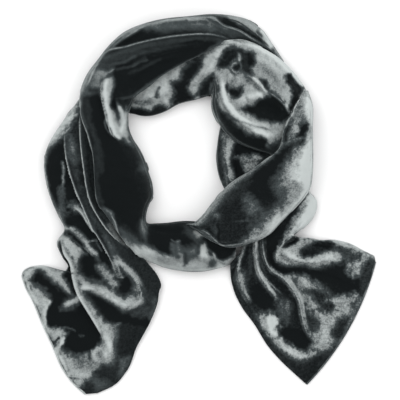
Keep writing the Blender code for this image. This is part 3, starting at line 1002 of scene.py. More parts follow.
    def _side(self, ring: tuple[np.ndarray, np.ndarray],
              foot: np.ndarray) -> list[tuple[np.ndarray, np.ndarray]]:
        """Stack soft, uneven layers of cloth down the side, with painted shade in the hollows between them.

        Args:
            ring: The rim's rows and columns.
            foot: Height of the underside.

        Returns:
            Each ring's points and tones, from the rim down.
        """
        rim, top, inwards = self.place[ring], self.height[ring], self._inwards()[ring]
        drop = top - foot[ring]
        way = np.concatenate(((0.0,), np.cumsum(np.linalg.norm(np.diff(rim, axis=0), axis=1))))
        levels = range(SIDE_LAYERS + 1)
        spots = [np.column_stack((way, np.full_like(way, PATTERNS_APART * k))) for k in levels]
        seams = []
        for k, spot in enumerate(spots):
            wander = SEAM_WANDER * felt_noise(spot, SEAM_SIZE, self.seed + Pattern.SEAM)
            seams.append((k + wander * (0 < k < SIDE_LAYERS)) / SIDE_LAYERS)
        rings = []
        for start, end, spot in zip(seams, seams[1:], spots):
            uneven = felt_noise(spot, SIDE_UNEVEN_SIZE, self.seed + Pattern.SIDE_UNEVEN)
            share = SIDE_MEAN + (1.0 - SIDE_MEAN) * uneven
            depth = np.minimum(SIDE_DEPTH * drop, SIDE_DEEPEST) * share
            for part, bulge in SIDE_RINGS:
                level = start + (end - start) * part
                inset = depth * (1.0 - bulge) - SIDE_OUT
                height = top - drop * level
                laid = self._uneven_pile(way, height, LAYER_BLOTCH_SIZE, LAYER_FLOOR, Pattern.LAYER_BLOTCH)
                far = ease(drop * level, *SIDE_BLEND)
                tone = self.tone[ring] * (1.0 - far) + laid * far
                # painted shade in the hollows between the layers
                tone *= PAINTED_HOLLOW_SHADE + (1.0 - PAINTED_HOLLOW_SHADE) * bulge
                rings.append((np.column_stack((rim + inwards * inset[:, None], height)), tone))
        return rings

    def _inwards(self) -> np.ndarray:
        """Point inwards from the left and the right edge.

        Returns:
            A unit direction for each vertex of an edge, and 0 for the others.
        """
        ways = np.zeros_like(self.place)
        for edge, inner in ((0, INNER_COLUMN), (-1, -1 - INNER_COLUMN)):
            way = self.place[:, inner] - self.place[:, edge]
            ways[:, edge] = way / np.maximum(np.linalg.norm(way, axis=1)[:, None], LEAST_WAY)
        return ways

    @staticmethod
    def _quads(grid: np.ndarray) -> np.ndarray:
        """Skin a grid of vertex numbers with faces that look up."""
        corners = (grid[:-1, :-1], grid[:-1, 1:], grid[1:, 1:], grid[1:, :-1])
        return np.stack([c.reshape(-1) for c in corners], axis=1)

    @staticmethod
    def _band(upper: np.ndarray, lower: np.ndarray) -> np.ndarray:
        """Join two rims with faces that look out."""
        return np.stack((upper, lower, np.roll(lower, -1), np.roll(upper, -1)), axis=1)

    def form(self, heap: Heap) -> None:
        """Work out the piece's whole shape.

        Args:
            heap: The cloth that it is laid on.
        """
        self.lay_out()
        self.raise_folds()
        self.crumple()
        self.settle(heap)
        self.stack_sides()

    def hem(self) -> np.ndarray | None:
        """Give the line of the end's hem, or None where the piece has no end of the strip."""
        return None

    def build(self, finish: bpy.types.Material) -> bpy.types.Object:
        """Args:
            finish: The velvet.

        Returns:
            The finished piece.
        """
        self.paint()
        piece = bpy.data.objects.new(self.name, self.make_mesh())
        piece.data.materials.append(finish)
        bpy.context.scene.collection.objects.link(piece)
        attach(piece, "root")
        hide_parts(*self.nodes)
        line = self.hem()
        rolls = [] if line is None else [HemRoll(f"{self.name}_hem", tone=self.hem_tone).build(line, finish)]
        log.info("%s: %d faces", self.name, len(piece.data.polygons))
        return piece


@dataclass
class LeftEnd(Cloth):
    """The flat left end, its fan of pleats, and the strand up the outer left side."""

    name: str = "left_end"
    nodes: tuple[str, ...] = ("left_tail", "outer_rise")
    held: Held = Held.LAID
    flat: tuple[float, float] = (0.2, 0.46)
    area: float | None = 0.06
    spacing: float = 2.0
    hem_tone: float = 0.8
    relief: float = 0.28
    worn: float = 0.75
    seed: int = 11
    hem_top: float = 275.0  # how far down the plan its hem starts

    def sections(self) -> tuple[Section, ...]:
        """List the sections from the left hem up to the shoulder."""
        return (
            Section((85, 395), (97, 394), 2.6, 2.4, 2.4, WALL),
            Section((75, 386), (112, 387), 3.4, 2.4, 2.4, WALL),
            Section((64, 372), (126, 372), 4.0, 2.4, 3.0, WALL),
            Section((53, 348), (136, 348), 4.5, 2.4, 5.0, WALL),
            Section((42, 324), (149, 324), 5.0, 2.4, 7.0, WALL),
            Section((32, 300), (157.2, 303), 6.0, 2.4, 8.0, WALL),
            Section((24, 284), (159, 291), 7.0, 2.4, 9.0, WALL),
            Section((22, 272.4), (160.6, 287), 8.0, 2.4, 9.0, 3.0, -1.0),
            Section((28.6, 267.6), (160.4, 283), 8.4, 2.4, 9.0, 4.0, -4.2),
            Section((38, 266.2), (158.5, 278.5), 9.0, 2.4, 9.0, 5.0, -7.0),
            Section((50, 267.6), (155, 272.5), 9.6, 2.6, 9.0, 7.0, -8.4),
            Section((61, 271.6), (150, 266.5), 10.5, 3.0, 9.0, 9.0, -5.0),
            Section((67, 267.5), (144, 259.5), 14.0, 4.5, 9.0, 16.0, -1.0),
            Section((62.5, 257.5), (137, 253), 18.0, 8.0, 9.0, 40.0),
            Section((57, 242), (126, 243), 22.0, 9.0, 9.0),
            Section((64, 230), (117, 231), 24.0, 9.0, 9.0),
            Section((58, 216), (114, 218), 25.0, 9.0, 9.0),
            Section((50, 198), (110, 198), 26.0, 9.0, 9.0),
            Section((45, 176), (108, 176), 26.0, 9.0, 9.0),
            Section((44, 158), (108, 156), 26.0, 9.0, 9.0),
            Section((50, 141), (110, 138), 25.0, 9.0, 9.0),
            Section((60, 125), (115, 123), 23.0, 9.0, 8.0),
            Section((70, 110), (121, 114), 20.0, 8.0, 7.0),
            Section((82, 95), (126, 112), 17.0, 7.0, 7.0),
            Section((98, 78), (131, 113), 16.0, 7.0, 7.0),
        )

    def folds(self) -> tuple[Fold, ...]:
        """List the pleats, which shingle down to the left."""
        return (
            Fold((92, 238, 106, 262, 112, 300, 100, 345, 92, 376), 9, 44, 44),
            Fold((66, 132, 67, 146, 71, 167, 76, 184, 83, 201, 94, 225, 109, 251, 117, 270), 7, 13, 4, -3.8,
                  0.8, -1.5),
            Fold((81, 112, 83, 146, 86, 170, 92, 200, 104, 222, 128, 249), 6, 9, 3.5, -3.2, 0.85, -1.5),
            Fold((73, 205, 82, 212, 89, 223, 97, 233), 5, 8, 4, -2.0, 0.8, 4.0),
            Fold((62, 236, 66, 251, 73, 264, 75, 277, 80, 294, 87, 306, 94, 317, 100, 327, 104, 336,
                  106, 344), 10, 16, 4.5, -4.4, 0.95, 5.0),
            Fold((64, 228, 76, 232, 83, 238, 88, 248, 97, 257), 5, 7, 7, 0.0, 0.5),
            Fold((62, 233, 71, 240, 82, 249, 94, 257), -4, 4, 4),
            Fold((113, 256, 121, 266, 133, 277, 138, 285, 141, 295, 138, 303, 127, 306, 115, 301, 102, 293,
                  88, 288, 78, 282), 6, 9, 8, 0.0, 0.7, 0.1),
            Fold((114, 258, 117, 268, 121, 278), 5, 4, 4, 0.0, 0.5, 0.3),
            Fold((31, 271, 52, 284, 71, 295), 3, 7, 7),
            Fold((60, 309, 71, 302, 81, 295), 4, 6, 6, 0.0, 0.4),
            Fold((40, 316, 46, 308, 51, 300), 2.5, 5, 5, 0.0, 0.3),
            Fold((128, 312, 140, 312, 152, 308), 3, 6, 6),
            Fold((91, 350, 94, 360, 103, 364, 110, 356, 108, 342), 2, 6, 6),
        )

    def strokes(self) -> tuple[Stroke | Patch, ...]:
        """List the laid pile and the painted light and shade from the shoulder down to the hem."""
        return (
            # Outer left side, with painted light on its outer slope and rim and a painted shadow below the
            # fold edge
            Patch((79, 98, 80.5, 107, 76, 115, 71, 123, 63, 133, 56, 141, 46, 148, 51, 138, 61, 124,
                   70, 109), 0.56, 2.5),
            Patch((74, 107, 72, 118, 64, 129, 56, 138, 50, 142, 55, 131, 63, 119), 0.92, 3.4),
            # painted shadow below the fold edge
            Patch((50, 152, 66, 140, 70, 160, 78, 190, 84, 212, 60, 214, 48, 190, 46, 165), 0.03, 2),
            Patch((68, 137, 74, 141, 78, 154, 74, 163, 70, 156), 0.42, 3.0),
            Patch((75, 166, 84, 166, 88, 182, 96, 202, 108, 222, 102, 227, 90, 208, 81, 190), 0.05, 1.8),
            Patch((84, 128, 90, 150, 93, 170, 97, 195, 104, 212, 97, 212, 89, 190, 85, 162), 0.07, 1.4),
            Stroke((72, 155, 80, 160, 84, 161), 1.6, 0.22),
            Stroke((77, 170, 81, 173, 86, 174), 1.0, 0.2),
            Stroke((82, 186, 87, 190, 91, 190), 0.9, 0.17),
            Stroke((62.5, 162, 63.5, 172, 63, 184, 61, 198), 1.3, 0.55),
            Stroke((61, 190, 62, 205, 64, 214), 3.4, 0.3),
            # painted light along the rim
            Stroke((45, 150, 43.5, 166, 46, 190, 52, 212), 1.8, 0.5),
            # painted light on the slopes
            Patch((56, 206, 62, 208, 64, 216, 61, 224, 56, 216), 0.6, 2.5),
            Patch((68, 206, 73, 203, 80, 207, 82, 211, 76, 212), 0.58, 2.5),
            # Neck between the outer side and the fan of pleats
            Patch((66, 217, 82, 214, 95, 225, 104, 240, 111, 256, 112, 274, 106, 266, 99, 261, 94, 246,
                   84, 236, 76, 229, 68, 226), 0.03, 1.5),
            Patch((63, 228, 72, 228, 79, 231, 86, 240, 93, 247, 97, 252, 99, 260, 93, 258, 87, 251, 83, 245,
                   79, 240, 73, 235, 68, 231), 0.7, 1.8),
            Stroke((87, 242, 92, 241, 97, 241), 0.9, 0.55),
            Stroke((97, 244, 100, 248, 102, 251), 0.9, 0.4),
            Patch((90, 243, 97, 243, 100, 251, 94, 248), 0.08, 1.2),
            # painted shade along the groove
            Stroke((62.5, 232, 72, 236, 79, 244, 87, 252.5, 93, 258), 2.1, 0.01),
            Patch((57, 234, 60, 231, 70, 240, 79, 248, 87, 253, 81, 257, 79, 262, 77, 272, 75, 265, 71, 257,
                   65, 249, 60, 242, 56, 239), 0.66, 2.0),
            # painted shadow where the pleat lies over the panel
            Patch((60, 244, 61.5, 259, 67, 267, 68, 272, 62.5, 276.5, 64, 281, 68, 285, 72, 293, 79, 295,
                   80, 293, 75.5, 281, 73.5, 270, 70, 262, 64, 252.5), 0.02, 1.2),
            # Fan of pleats
            Patch((79, 259, 85, 255, 94, 258, 98, 262, 96, 266, 99, 273, 105, 281, 98, 280, 88, 278, 83, 276,
                   80, 268), 0.03, 2.6),
            Patch((76, 272, 85, 279, 93, 281, 103, 283, 111, 289, 116, 295, 124, 299, 133, 296, 139, 292,
                   143, 296, 143, 302, 137, 308, 129, 311, 123, 311, 116, 305, 109, 300, 99, 296, 88, 291,
                   84, 291, 83, 296, 80, 289), 0.62, 3.0),
            Stroke((84, 287, 92, 290, 101, 294, 110, 299, 118, 304, 125, 307), 1.7, 0.84),
            Stroke((128, 309, 136, 305, 142, 298), 1.8, 0.7),
            Patch((96, 266, 100, 263, 105, 265, 111, 272, 116, 279, 120, 286, 118, 289, 111, 286, 106, 281,
                   100, 274), 0.6, 1.6),
            Patch((123, 271, 129, 277, 133, 284, 131, 291, 124, 293.5, 118, 290, 120, 286, 123, 280), 0.0,
                   2.0),
            Patch((113, 256, 121, 261, 128, 266, 134, 275, 139, 282, 141, 290, 137, 293, 133, 291, 134, 285,
                   129, 277, 123, 270, 117, 264), 0.62, 1.8),
            Stroke((113, 262, 115, 270, 119, 277, 122, 277), 1.1, 0.6),
            Patch((142, 262, 152, 266, 158, 284, 156, 300, 147, 300, 144, 286), 0.1, 3.0),
            Stroke((146, 294, 152, 304, 150, 312), 4, 0.16),
            Patch((85, 293, 93, 295, 101, 299, 108, 302, 115, 307, 124, 314, 132, 310, 147, 306, 150, 312,
                   152, 319, 145, 327, 132, 323, 114, 322, 104, 320, 96, 311, 90, 304), 0.015, 1.6),
            Patch((127, 313, 134, 310, 147, 307, 150, 314, 136, 319), 0.25, 2.2),
            Stroke((154.5, 300, 153.5, 310, 150, 318), 2.2, 0.34),
            Stroke((104, 306, 112, 314, 122, 320, 134, 323, 146, 325), 2.0, -0.05),
            # Flat end
            Patch((38, 264, 48, 265, 57, 269, 64, 271, 63, 277, 65, 282, 70, 290, 72, 295, 65, 292, 57, 285,
                   50, 279, 44, 273, 40, 270), 0.72, 2.0),
            Patch((30, 276, 35, 272, 40, 271, 44, 277, 50, 283, 57, 290, 66, 295, 72, 297, 78, 297, 62, 299,
                   60, 306, 53, 311, 47, 320, 44, 318, 49, 305, 49, 299, 47, 296, 43, 290, 36, 286, 31, 282),
                   0.02, 2.4),
            Patch((21, 272, 28, 267, 39, 265, 35, 270, 30, 277, 28, 286, 23, 281), 0.8, 2.0),
            Patch((25, 279, 30, 284, 36, 287, 43, 291, 47, 296, 49, 301, 45, 308, 43, 318, 47, 328, 42, 324,
                   32, 300), 0.72, 2.6),
            Patch((42, 300, 50, 300, 49, 305, 45, 312, 44, 322, 41, 314), 0.84, 1.8),
            Stroke((24, 279, 29, 290, 35, 303), 1.6, 0.9),
            Patch((51, 300, 62, 299, 61, 308, 75, 312, 82, 303, 87, 307, 93, 318, 99, 327, 103, 335,
                   102, 342, 93, 349, 86, 354, 75, 354, 68, 348, 60, 349, 65, 340, 67, 334, 60, 329, 47, 328,
                   44, 319, 46, 311), 0.0, 2.0),
            Patch((64, 301, 72, 300, 79, 296, 82, 296, 79, 303, 72, 308, 66, 311, 61, 309), 0.56, 2.4),
            Stroke((66, 305, 72, 303, 80, 298), 2.2, 0.8),
            Stroke((50, 301, 45, 308, 43, 316, 45, 326, 49, 334), 1.7, 0.86),
            Stroke((57, 329, 66, 328.5, 75, 331), 0.9, 0.32),
            Stroke((80, 336, 82, 337), 1.2, 0.35),
            Patch((47, 328, 60, 329, 66, 333, 64, 340, 59, 350, 55, 350, 52, 343, 47, 335), 0.7, 2.4),
            Stroke((53.5, 343.5, 56, 342, 59, 339.5), 1.1, 0.03),
            Stroke((56, 350, 60, 346, 64, 339), 1.3, 0.88),
            Patch((56, 350, 63, 351, 68, 355, 75, 357, 87, 354, 90, 360, 91, 368, 93, 374, 87, 381, 82, 386,
                   78, 392, 70, 380, 64, 370, 60, 360), 0.7, 2.6),
            Stroke((56, 351, 61, 361, 66, 371, 71, 380), 1.8, 0.86),
            Stroke((70, 378, 78, 380, 85, 379), 0.9, 0.34),
            Patch((79, 371, 86, 369, 90, 373, 87, 379, 80, 380), 0.76, 2.6),
            Patch((74, 360, 82, 358, 88, 362, 86, 367, 77, 367), 0.46, 2.4),
            Patch((84, 300, 91, 305, 96, 313, 104, 321, 114, 327, 118, 330, 118, 338, 114, 345, 115, 354,
                   112, 362, 108, 367, 102, 366, 100, 371, 93, 370, 91, 362, 89, 355, 93, 350, 101, 343,
                   104, 336, 99, 327, 94, 317, 87, 307), 0.62, 1.8),
            Patch((110, 325, 118, 325, 119.5, 340, 118, 355, 114, 365, 111, 366, 112.5, 352, 112, 338), 0.42,
                   2.2),
            Stroke((111, 329, 115, 325, 119, 324), 1.2, 0.5),
            Stroke((104.5, 337, 108, 343, 108.5, 349, 105, 355), 2.8, 0.84),
            Stroke((97, 350, 93, 355, 94, 362), 2.2, 0.72),
            Stroke((99, 354, 101, 360), 2.2, 0.5),
            Patch((118, 327, 144, 325, 137, 344, 131, 360, 121, 362, 118, 355, 116, 348, 119, 338), 0.07,
                   2.6),
            Patch((103, 366, 109, 368, 114, 371, 116, 378, 111, 386, 97, 393, 88, 387, 86, 382, 93, 380,
                   101, 377), 0.1, 3.0),
            Patch((117, 357, 123, 360, 130, 356, 128, 366, 123, 375, 119, 377, 120, 368), 0.4, 2.2),
            Patch((92, 380, 97, 377, 104, 381, 109, 385, 104, 390, 96, 391), 0.34, 2.6),
        )

    def hem(self) -> np.ndarray:
        """Run up the left edge, from the end's lowest point to its upper corner.

        Returns:
            The places and heights of the roll's middle.
        """
        highest = plan((0, self.hem_top))[1]
        edge = np.column_stack((self.place[:, 0], np.full(len(self.place), HEM_MIDDLE)))
        return edge[: int(np.argmax(edge[:, 1] > highest))]


@dataclass
class LightBand(Cloth):
    """The light strand along the inner top, and the crumpled piece that it turns into on the right."""

    name: str = "light_band"
    nodes: tuple[str, ...] = ("inner_top", "right_inner")
    held: Held = Held.GATHERED
    flat: tuple[float, float] = (0.2, 0.30)
    rests_on: tuple[str, ...] = ("long_strand", "right_end")
    area: float | None = 0.04
    base_tone: float = 0.5
    crush: float = 1.1
    seed: int = 31

    def sections(self) -> tuple[Section, ...]:
        """List the sections from the shoulder round to the right side."""
        return (
            Section((98, 78), (131, 113), 16.0, 7.0, 7.0),
            Section((114, 66), (140, 115), 18.0, 7.0, 8.0),
            Section((132, 56), (150, 115), 20.0, 7.0, 9.0),
            Section((150, 49), (164, 111), 22.0, 7.0, 9.0),
            Section((168, 44), (179, 103), 23.0, 7.0, 9.0),
            Section((186, 42), (194, 99), 24.0, 7.0, 9.0),
            Section((205, 42), (207, 96), 27.0, 10.0, 9.0, over=0.4),
            Section((224, 41), (212, 96), 34.0, 22.0, 9.0, over=0.8),
            Section((238, 40), (211.5, 106), 40.0, 28.0, 11.0, over=1.0),
            Section((251, 43), (216, 119), 46.0, 30.0, 14.0, over=1.0),
            Section((264, 49), (226, 133), 49.0, 30.0, 20.0, over=1.0),
            Section((277, 57), (239, 143), 50.0, 28.0, 24.0, over=1.0),
            Section((290, 69), (254, 149), 49.0, 26.0, 26.0, over=1.0),
            Section((301, 82), (270, 154), 45.0, 22.0, 28.0, over=1.0),
            Section((308, 94), (284, 157), 38.0, 16.0, 26.0, over=1.0),
            Section((311, 108), (292, 158), 32.0, 14.0, 22.0, over=1.0),
        )

    def folds(self) -> tuple[Fold, ...]:
        """List the dents and ridges of the crumpled piece."""
        return (
            Fold((126, 108, 150, 98, 175, 88, 200, 76, 222, 52), 5, 11, 10),
            Fold((186, 94, 194, 82, 204, 64), -4, 7, 7),
            Fold((216, 72, 220, 96, 230, 114, 250, 130, 272, 142), 5, 10, 8, 0.0, 0.3),
            Fold((246, 77, 255, 82, 264, 91, 276, 98, 284, 106, 290, 118), 5, 4, 9, 0.0, 0.55),
            Fold((222, 60, 230, 50), -4, 9, 9),
            Fold((246, 54, 250, 70), -4, 8, 8),
            Fold((228, 66, 236, 60, 241, 68, 235, 74, 229, 68), 2.5, 4, 4, 0.0, 0.4),
            Fold((228, 92, 242, 93), -4, 8, 8),
            Fold((246, 112, 264, 108, 282, 114), -6, 12, 12),
            Fold((292, 78, 300, 90, 296, 108), -5, 9, 9),
            Fold((236, 58, 258, 62, 280, 78), 3, 10, 10),
            Fold((246, 100, 262, 96), 3, 7, 7),
        )

    def strokes(self) -> tuple[Stroke | Patch, ...]:
        """List the laid pile and the painted light and shade from the inner top round to the right."""
        return (
            # Inner top
            Patch((126, 96, 150, 82, 170, 69, 189, 63, 182, 71, 180, 77, 173, 81, 171, 86, 172, 91, 175, 95,
                   170, 100, 167, 107, 164, 106, 160, 102, 155, 106, 150, 110, 142, 109, 128, 106), 0.76,
                   2.0),
            Patch((136, 99, 150, 99, 154, 102, 152, 106, 143, 106, 133, 104), 0.44, 2.4),
            Stroke((159, 88, 157, 93, 156, 97), 1.6, 0.36),
            Stroke((132, 105, 142, 107, 151, 109), 1.2, 0.75),
            Patch((126, 108, 143, 109, 151, 110, 158, 105, 163, 105, 168, 108, 176, 102, 182, 108, 160, 118,
                   126, 120), 0.07, 1.6),
            Patch((188, 64, 195, 60, 203, 57, 203, 65, 198, 74, 192, 82, 189, 88, 191, 93, 195, 96, 192, 101,
                   182, 106, 172, 108, 171, 101, 175, 95, 172, 89, 173, 83, 180, 78, 182, 71), 0.04, 2.2),
            Patch((204, 58, 216, 50, 230, 42, 222, 54, 217, 65, 214, 72, 208, 74, 202, 79, 198, 86, 196, 93,
                   193, 94, 189, 89, 193, 82, 198, 75, 203, 66), 0.84, 1.8),
            Patch((202, 84, 207, 80, 213, 74, 214, 84, 210, 93, 201, 99, 197, 94), 0.08, 1.6),
            # Crumpled piece on the right: its light ground
            Patch((226, 42, 247, 41, 268, 50, 288, 68, 306, 88, 296, 112, 288, 112, 280, 98, 266, 89,
                   254, 80, 248, 66, 240, 50), 0.62, 1.5),
            Stroke((228, 43, 247, 43.5, 268, 52.5, 284, 66, 300, 83), 2.4, 0.82),
            Patch((262, 60, 274, 66, 284, 76, 286, 90, 278, 94, 268, 84, 258, 72), 0.52, 4.0),
            Patch((244, 88, 254, 80, 266, 89, 271, 97, 266, 99, 256, 103, 247, 107, 238, 108, 233, 104,
                   242, 97), 0.66, 2.0),
            Stroke((243, 100, 254, 97, 264, 93), 3.0, 0.82),
            Patch((221, 71, 228, 70, 233, 76, 229, 82, 227, 86, 227, 94, 231, 101, 236, 107, 242, 112,
                   250, 117, 260, 121, 272, 124, 283, 123, 280, 134, 271, 139, 268, 147, 264, 142, 259, 136,
                   250, 137, 243, 131, 236, 122, 229, 116, 221, 109, 218.5, 102, 220, 92, 219, 82, 218, 75),
                   0.7, 1.8),
            Stroke((223.5, 84, 224, 96, 230, 108, 240, 118, 254, 124, 268, 127), 2.0, 0.88),
            Stroke((247, 131, 258, 132, 267, 136), 1.4, 0.82),
            Stroke((225, 113, 233, 120, 242, 123, 254, 126, 268, 130), 1.0, 0.48),
            Patch((236, 74, 243, 76, 243, 84, 237, 88, 233, 84), 0.6, 2.4),
            Patch((264, 120, 284, 121, 281, 132, 270, 130), 0.6, 2.6),
            # Dents and hollows: painted shade in them, and painted highlights on the small wrinkles inside
            # the first
            Patch((216, 67, 219, 59, 225, 50, 231, 46, 239, 47, 245, 51.5, 251, 51, 256, 55, 256, 62,
                   252, 67, 252.5, 75, 253, 80, 247, 76, 241, 72, 237, 74.5, 233, 73, 228, 68, 221, 69),
                   0.06, 1.8),
            Patch((237.5, 53.5, 239.5, 54, 241.5, 59, 240, 62, 237, 62.5, 237.2, 58), 0.6, 0.9),
            Patch((228.3, 67, 231, 63.5, 235, 61, 239.5, 61.5, 238, 64, 234, 65.5, 231, 68.5, 234, 72.5,
                   240, 73.3, 240, 74.6, 233.5, 74.3), 0.58, 0.8),
            Patch((226, 84, 228, 89, 233, 90, 238, 90.5, 243, 86.5, 242, 93, 237, 98.5, 231, 97, 227, 92),
                   0.02, 1.5),
            Patch((260, 81, 264, 81, 268, 85, 266, 89, 262, 88), 0.06, 1.8),
            Patch((241, 108.5, 247, 106, 254, 105.5, 257, 102, 266, 98, 271, 97, 266, 90, 272, 91.5,
                   279.5, 97, 284.5, 103, 287.5, 110, 289, 115.5, 286, 121, 281, 122.5, 271, 122.5, 259, 119,
                   250, 115, 244, 111.5), 0.015, 1.5),
            Patch((284.5, 76, 290, 75, 295, 81, 301, 86.5, 304.5, 89.5, 298, 97, 293, 108, 289.5, 116,
                   290, 107, 291, 97, 290, 87, 286, 82), -0.06, 1.5),
            Patch((213, 78, 210, 89, 210, 101, 212, 113, 217, 125, 225, 135, 233, 142, 243, 147, 253, 151,
                   262, 157, 276, 151, 280, 141, 276, 145, 271, 148, 266, 146, 266, 140, 261, 137, 255, 138,
                   247, 136, 241, 130, 234, 123, 230, 118, 225, 114, 219, 109, 217, 103, 218, 95, 218, 87,
                   217, 82, 215, 77), 0.1, 1.6),
            Stroke((240, 136, 252, 142, 262, 146), 4.5, 0.02),
            Stroke((211.5, 84, 210.5, 98, 213, 112, 219, 125), 1.4, 0.5),
            Patch((262, 149, 270, 147, 278, 142, 276, 150, 264, 155), 0.16, 1.8),
        )


@dataclass
class LongStrand(Cloth):
    """The strand along the bottom, up the main dark face, and round the pleated top."""

    name: str = "long_strand"
    nodes: tuple[str, ...] = ("bottom_band", "inner_rise", "top_outer")
    held: Held = Held.GATHERED
    flat: tuple[float, float] = (0.2, 0.62)
    rests_on: tuple[str, ...] = ("left_end", "inner_top")
    area: float | None = 0.08
    base_tone: float = 0.04
    spacing: float = 1.9
    worn: float = 0.35
    seed: int = 51

    def sections(self) -> tuple[Section, ...]:
        """List the sections from the bottom right, clockwise to the top right."""
        return (
            Section((236, 262), (236, 226), 22.0, 8.0, 8.0),
            Section((222, 267), (220, 226), 24.0, 9.0, 8.0),
            Section((205, 271), (203, 223), 25.0, 9.0, 9.0),
            Section((188, 271.5), (184, 222), 26.0, 9.0, 9.0),
            Section((168, 268.5), (164, 224), 26.0, 9.0, 9.0),
            Section((151, 262), (148, 223.5), 26.0, 9.0, 9.0, over=0.3),
            Section((138, 255), (145.5, 220), 33.0, 17.0, 10.0, over=1.0),
            Section((128, 245), (146, 212), 38.0, 26.0, 10.0, over=1.0),
            Section((117, 230), (149, 204), 41.0, 29.0, 10.0, over=1.0),
            Section((106, 215), (153, 195), 43.0, 31.0, 10.0, over=1.0),
            Section((98, 203), (152, 185), 45.0, 32.0, 10.0, over=1.0),
            Section((96, 189), (149, 174), 46.0, 33.0, 10.0, over=1.0),
            Section((95, 171), (145, 161), 46.0, 33.0, 10.0, over=1.0),
            Section((93, 152), (139, 149), 46.0, 33.0, 11.0, over=1.0),
            Section((88, 135), (132, 138), 45.0, 31.0, 12.0, over=1.0),
            Section((83, 121), (128, 127), 44.0, 28.0, 13.0, over=1.0),
            Section((80, 107), (128, 116), 43.0, 23.0, 16.0, over=1.0),
            Section((80, 93), (131, 106), 42.0, 16.0, 22.0, over=1.0),
            Section((86, 76), (135, 97), 42.0, 12.0, 26.0, over=1.0),
            Section((98, 59), (147, 87), 42.0, 11.0, 26.0, over=1.0),
            Section((110, 44), (159, 78), 42.0, 10.0, 28.0, over=1.0),
            Section((124, 32), (170, 71), 42.0, 10.0, 29.0, over=1.0),
            Section((142, 24), (182, 64), 42.0, 10.0, 29.0, over=1.0),
            Section((165, 18.5), (194, 58), 41.0, 10.0, 29.0, over=1.0),
            Section((190, 16), (203, 53.5), 39.0, 10.0, 28.0, over=1.0),
            Section((212, 14), (216, 46.5), 37.0, 10.0, 26.0, over=1.0),
            Section((232, 15.5), (226, 45), 34.0, 10.0, 24.0, over=1.0),
            Section((249, 20), (232, 52), 31.0, 10.0, 18.0, over=0.6),
            Section((262, 29), (235, 61), 28.0, 9.0, 12.0),
            Section((271, 42), (238, 65), 25.0, 9.0, 9.0),
            Section((283, 60), (240, 70), 22.0, 8.0, 8.0),
        )

    def folds(self) -> tuple[Fold, ...]:
        """List the pleats from the bottom round to the top."""
        return (
            Fold((150, 228, 170, 232, 190, 230, 212, 236), -3, 6, 6),
            Fold((222, 256, 206, 244, 196, 236), -4, 8, 8),
            Fold((214, 262, 196, 254, 176, 258, 156, 256), 4, 9, 9),
            Fold((176, 238, 180, 262), 2.5, 6, 6),
            Fold((184, 252, 186, 266), -3, 4, 4),
            Fold((200, 262, 202, 240), 2.5, 5, 5),
            Fold((102, 212, 98, 200, 95, 182, 94.5, 165, 92, 146, 88, 131, 83, 119, 81, 100), 4, 3, 10, 1.5,
                  0.6, 0.1),
            Fold((146, 261, 138, 255, 128, 246, 120, 234, 114, 218, 107, 211), 4, 4, 10, 1.0, 0.7),
            Fold((122, 139.5, 115, 135.5, 110, 125, 106.7, 112, 103.8, 99, 103, 89, 104.2, 80), 7, 3, 15,
                  2.0, 0.7),
            Fold((112, 98, 115, 110, 118, 124), -4.5, 5, 5, fade=0.3),
            Fold((126, 104, 127, 118, 125, 134), 4, 5, 5, 0.0, 0.5),
            Fold((112, 99, 122, 98, 134, 95, 148, 84, 166, 73, 180, 65, 200, 57, 222, 46), 3, 10, 4, -1.0,
                  0.25),
            Fold((88, 88, 98, 68, 107, 54, 127, 48.5, 147, 43, 166, 39.5, 185, 37, 200, 36, 217, 37,
                  232, 42), 7, 3.5, 11, 1.5, 0.62, 0.1),
            Fold((106, 56, 118, 44, 136, 33, 151, 24, 178, 20.5, 200, 18.5, 214, 20.5, 223, 27, 238, 32,
                  251, 39.5, 264, 46.5, 276, 53), 6, 3.5, 9, 1.0, 0.6, 0.1),
            Fold((222, 17, 238, 20.5, 251, 29, 261, 37, 272, 48), 6, 8, 3, -1.0, 0.6),
            Fold((120, 64, 146, 56, 176, 50, 206, 44), 2.5, 7, 7),
            Fold((130, 80, 150, 66, 180, 56), 2, 6, 6),
            Fold((116, 60, 130, 52, 150, 50), -1.5, 4, 4),
            Fold((210, 21, 219, 23), 2, 3, 3, 0.0, 0.5),
            Fold((118, 250, 112, 232, 106, 220), -3, 4, 4),
        )

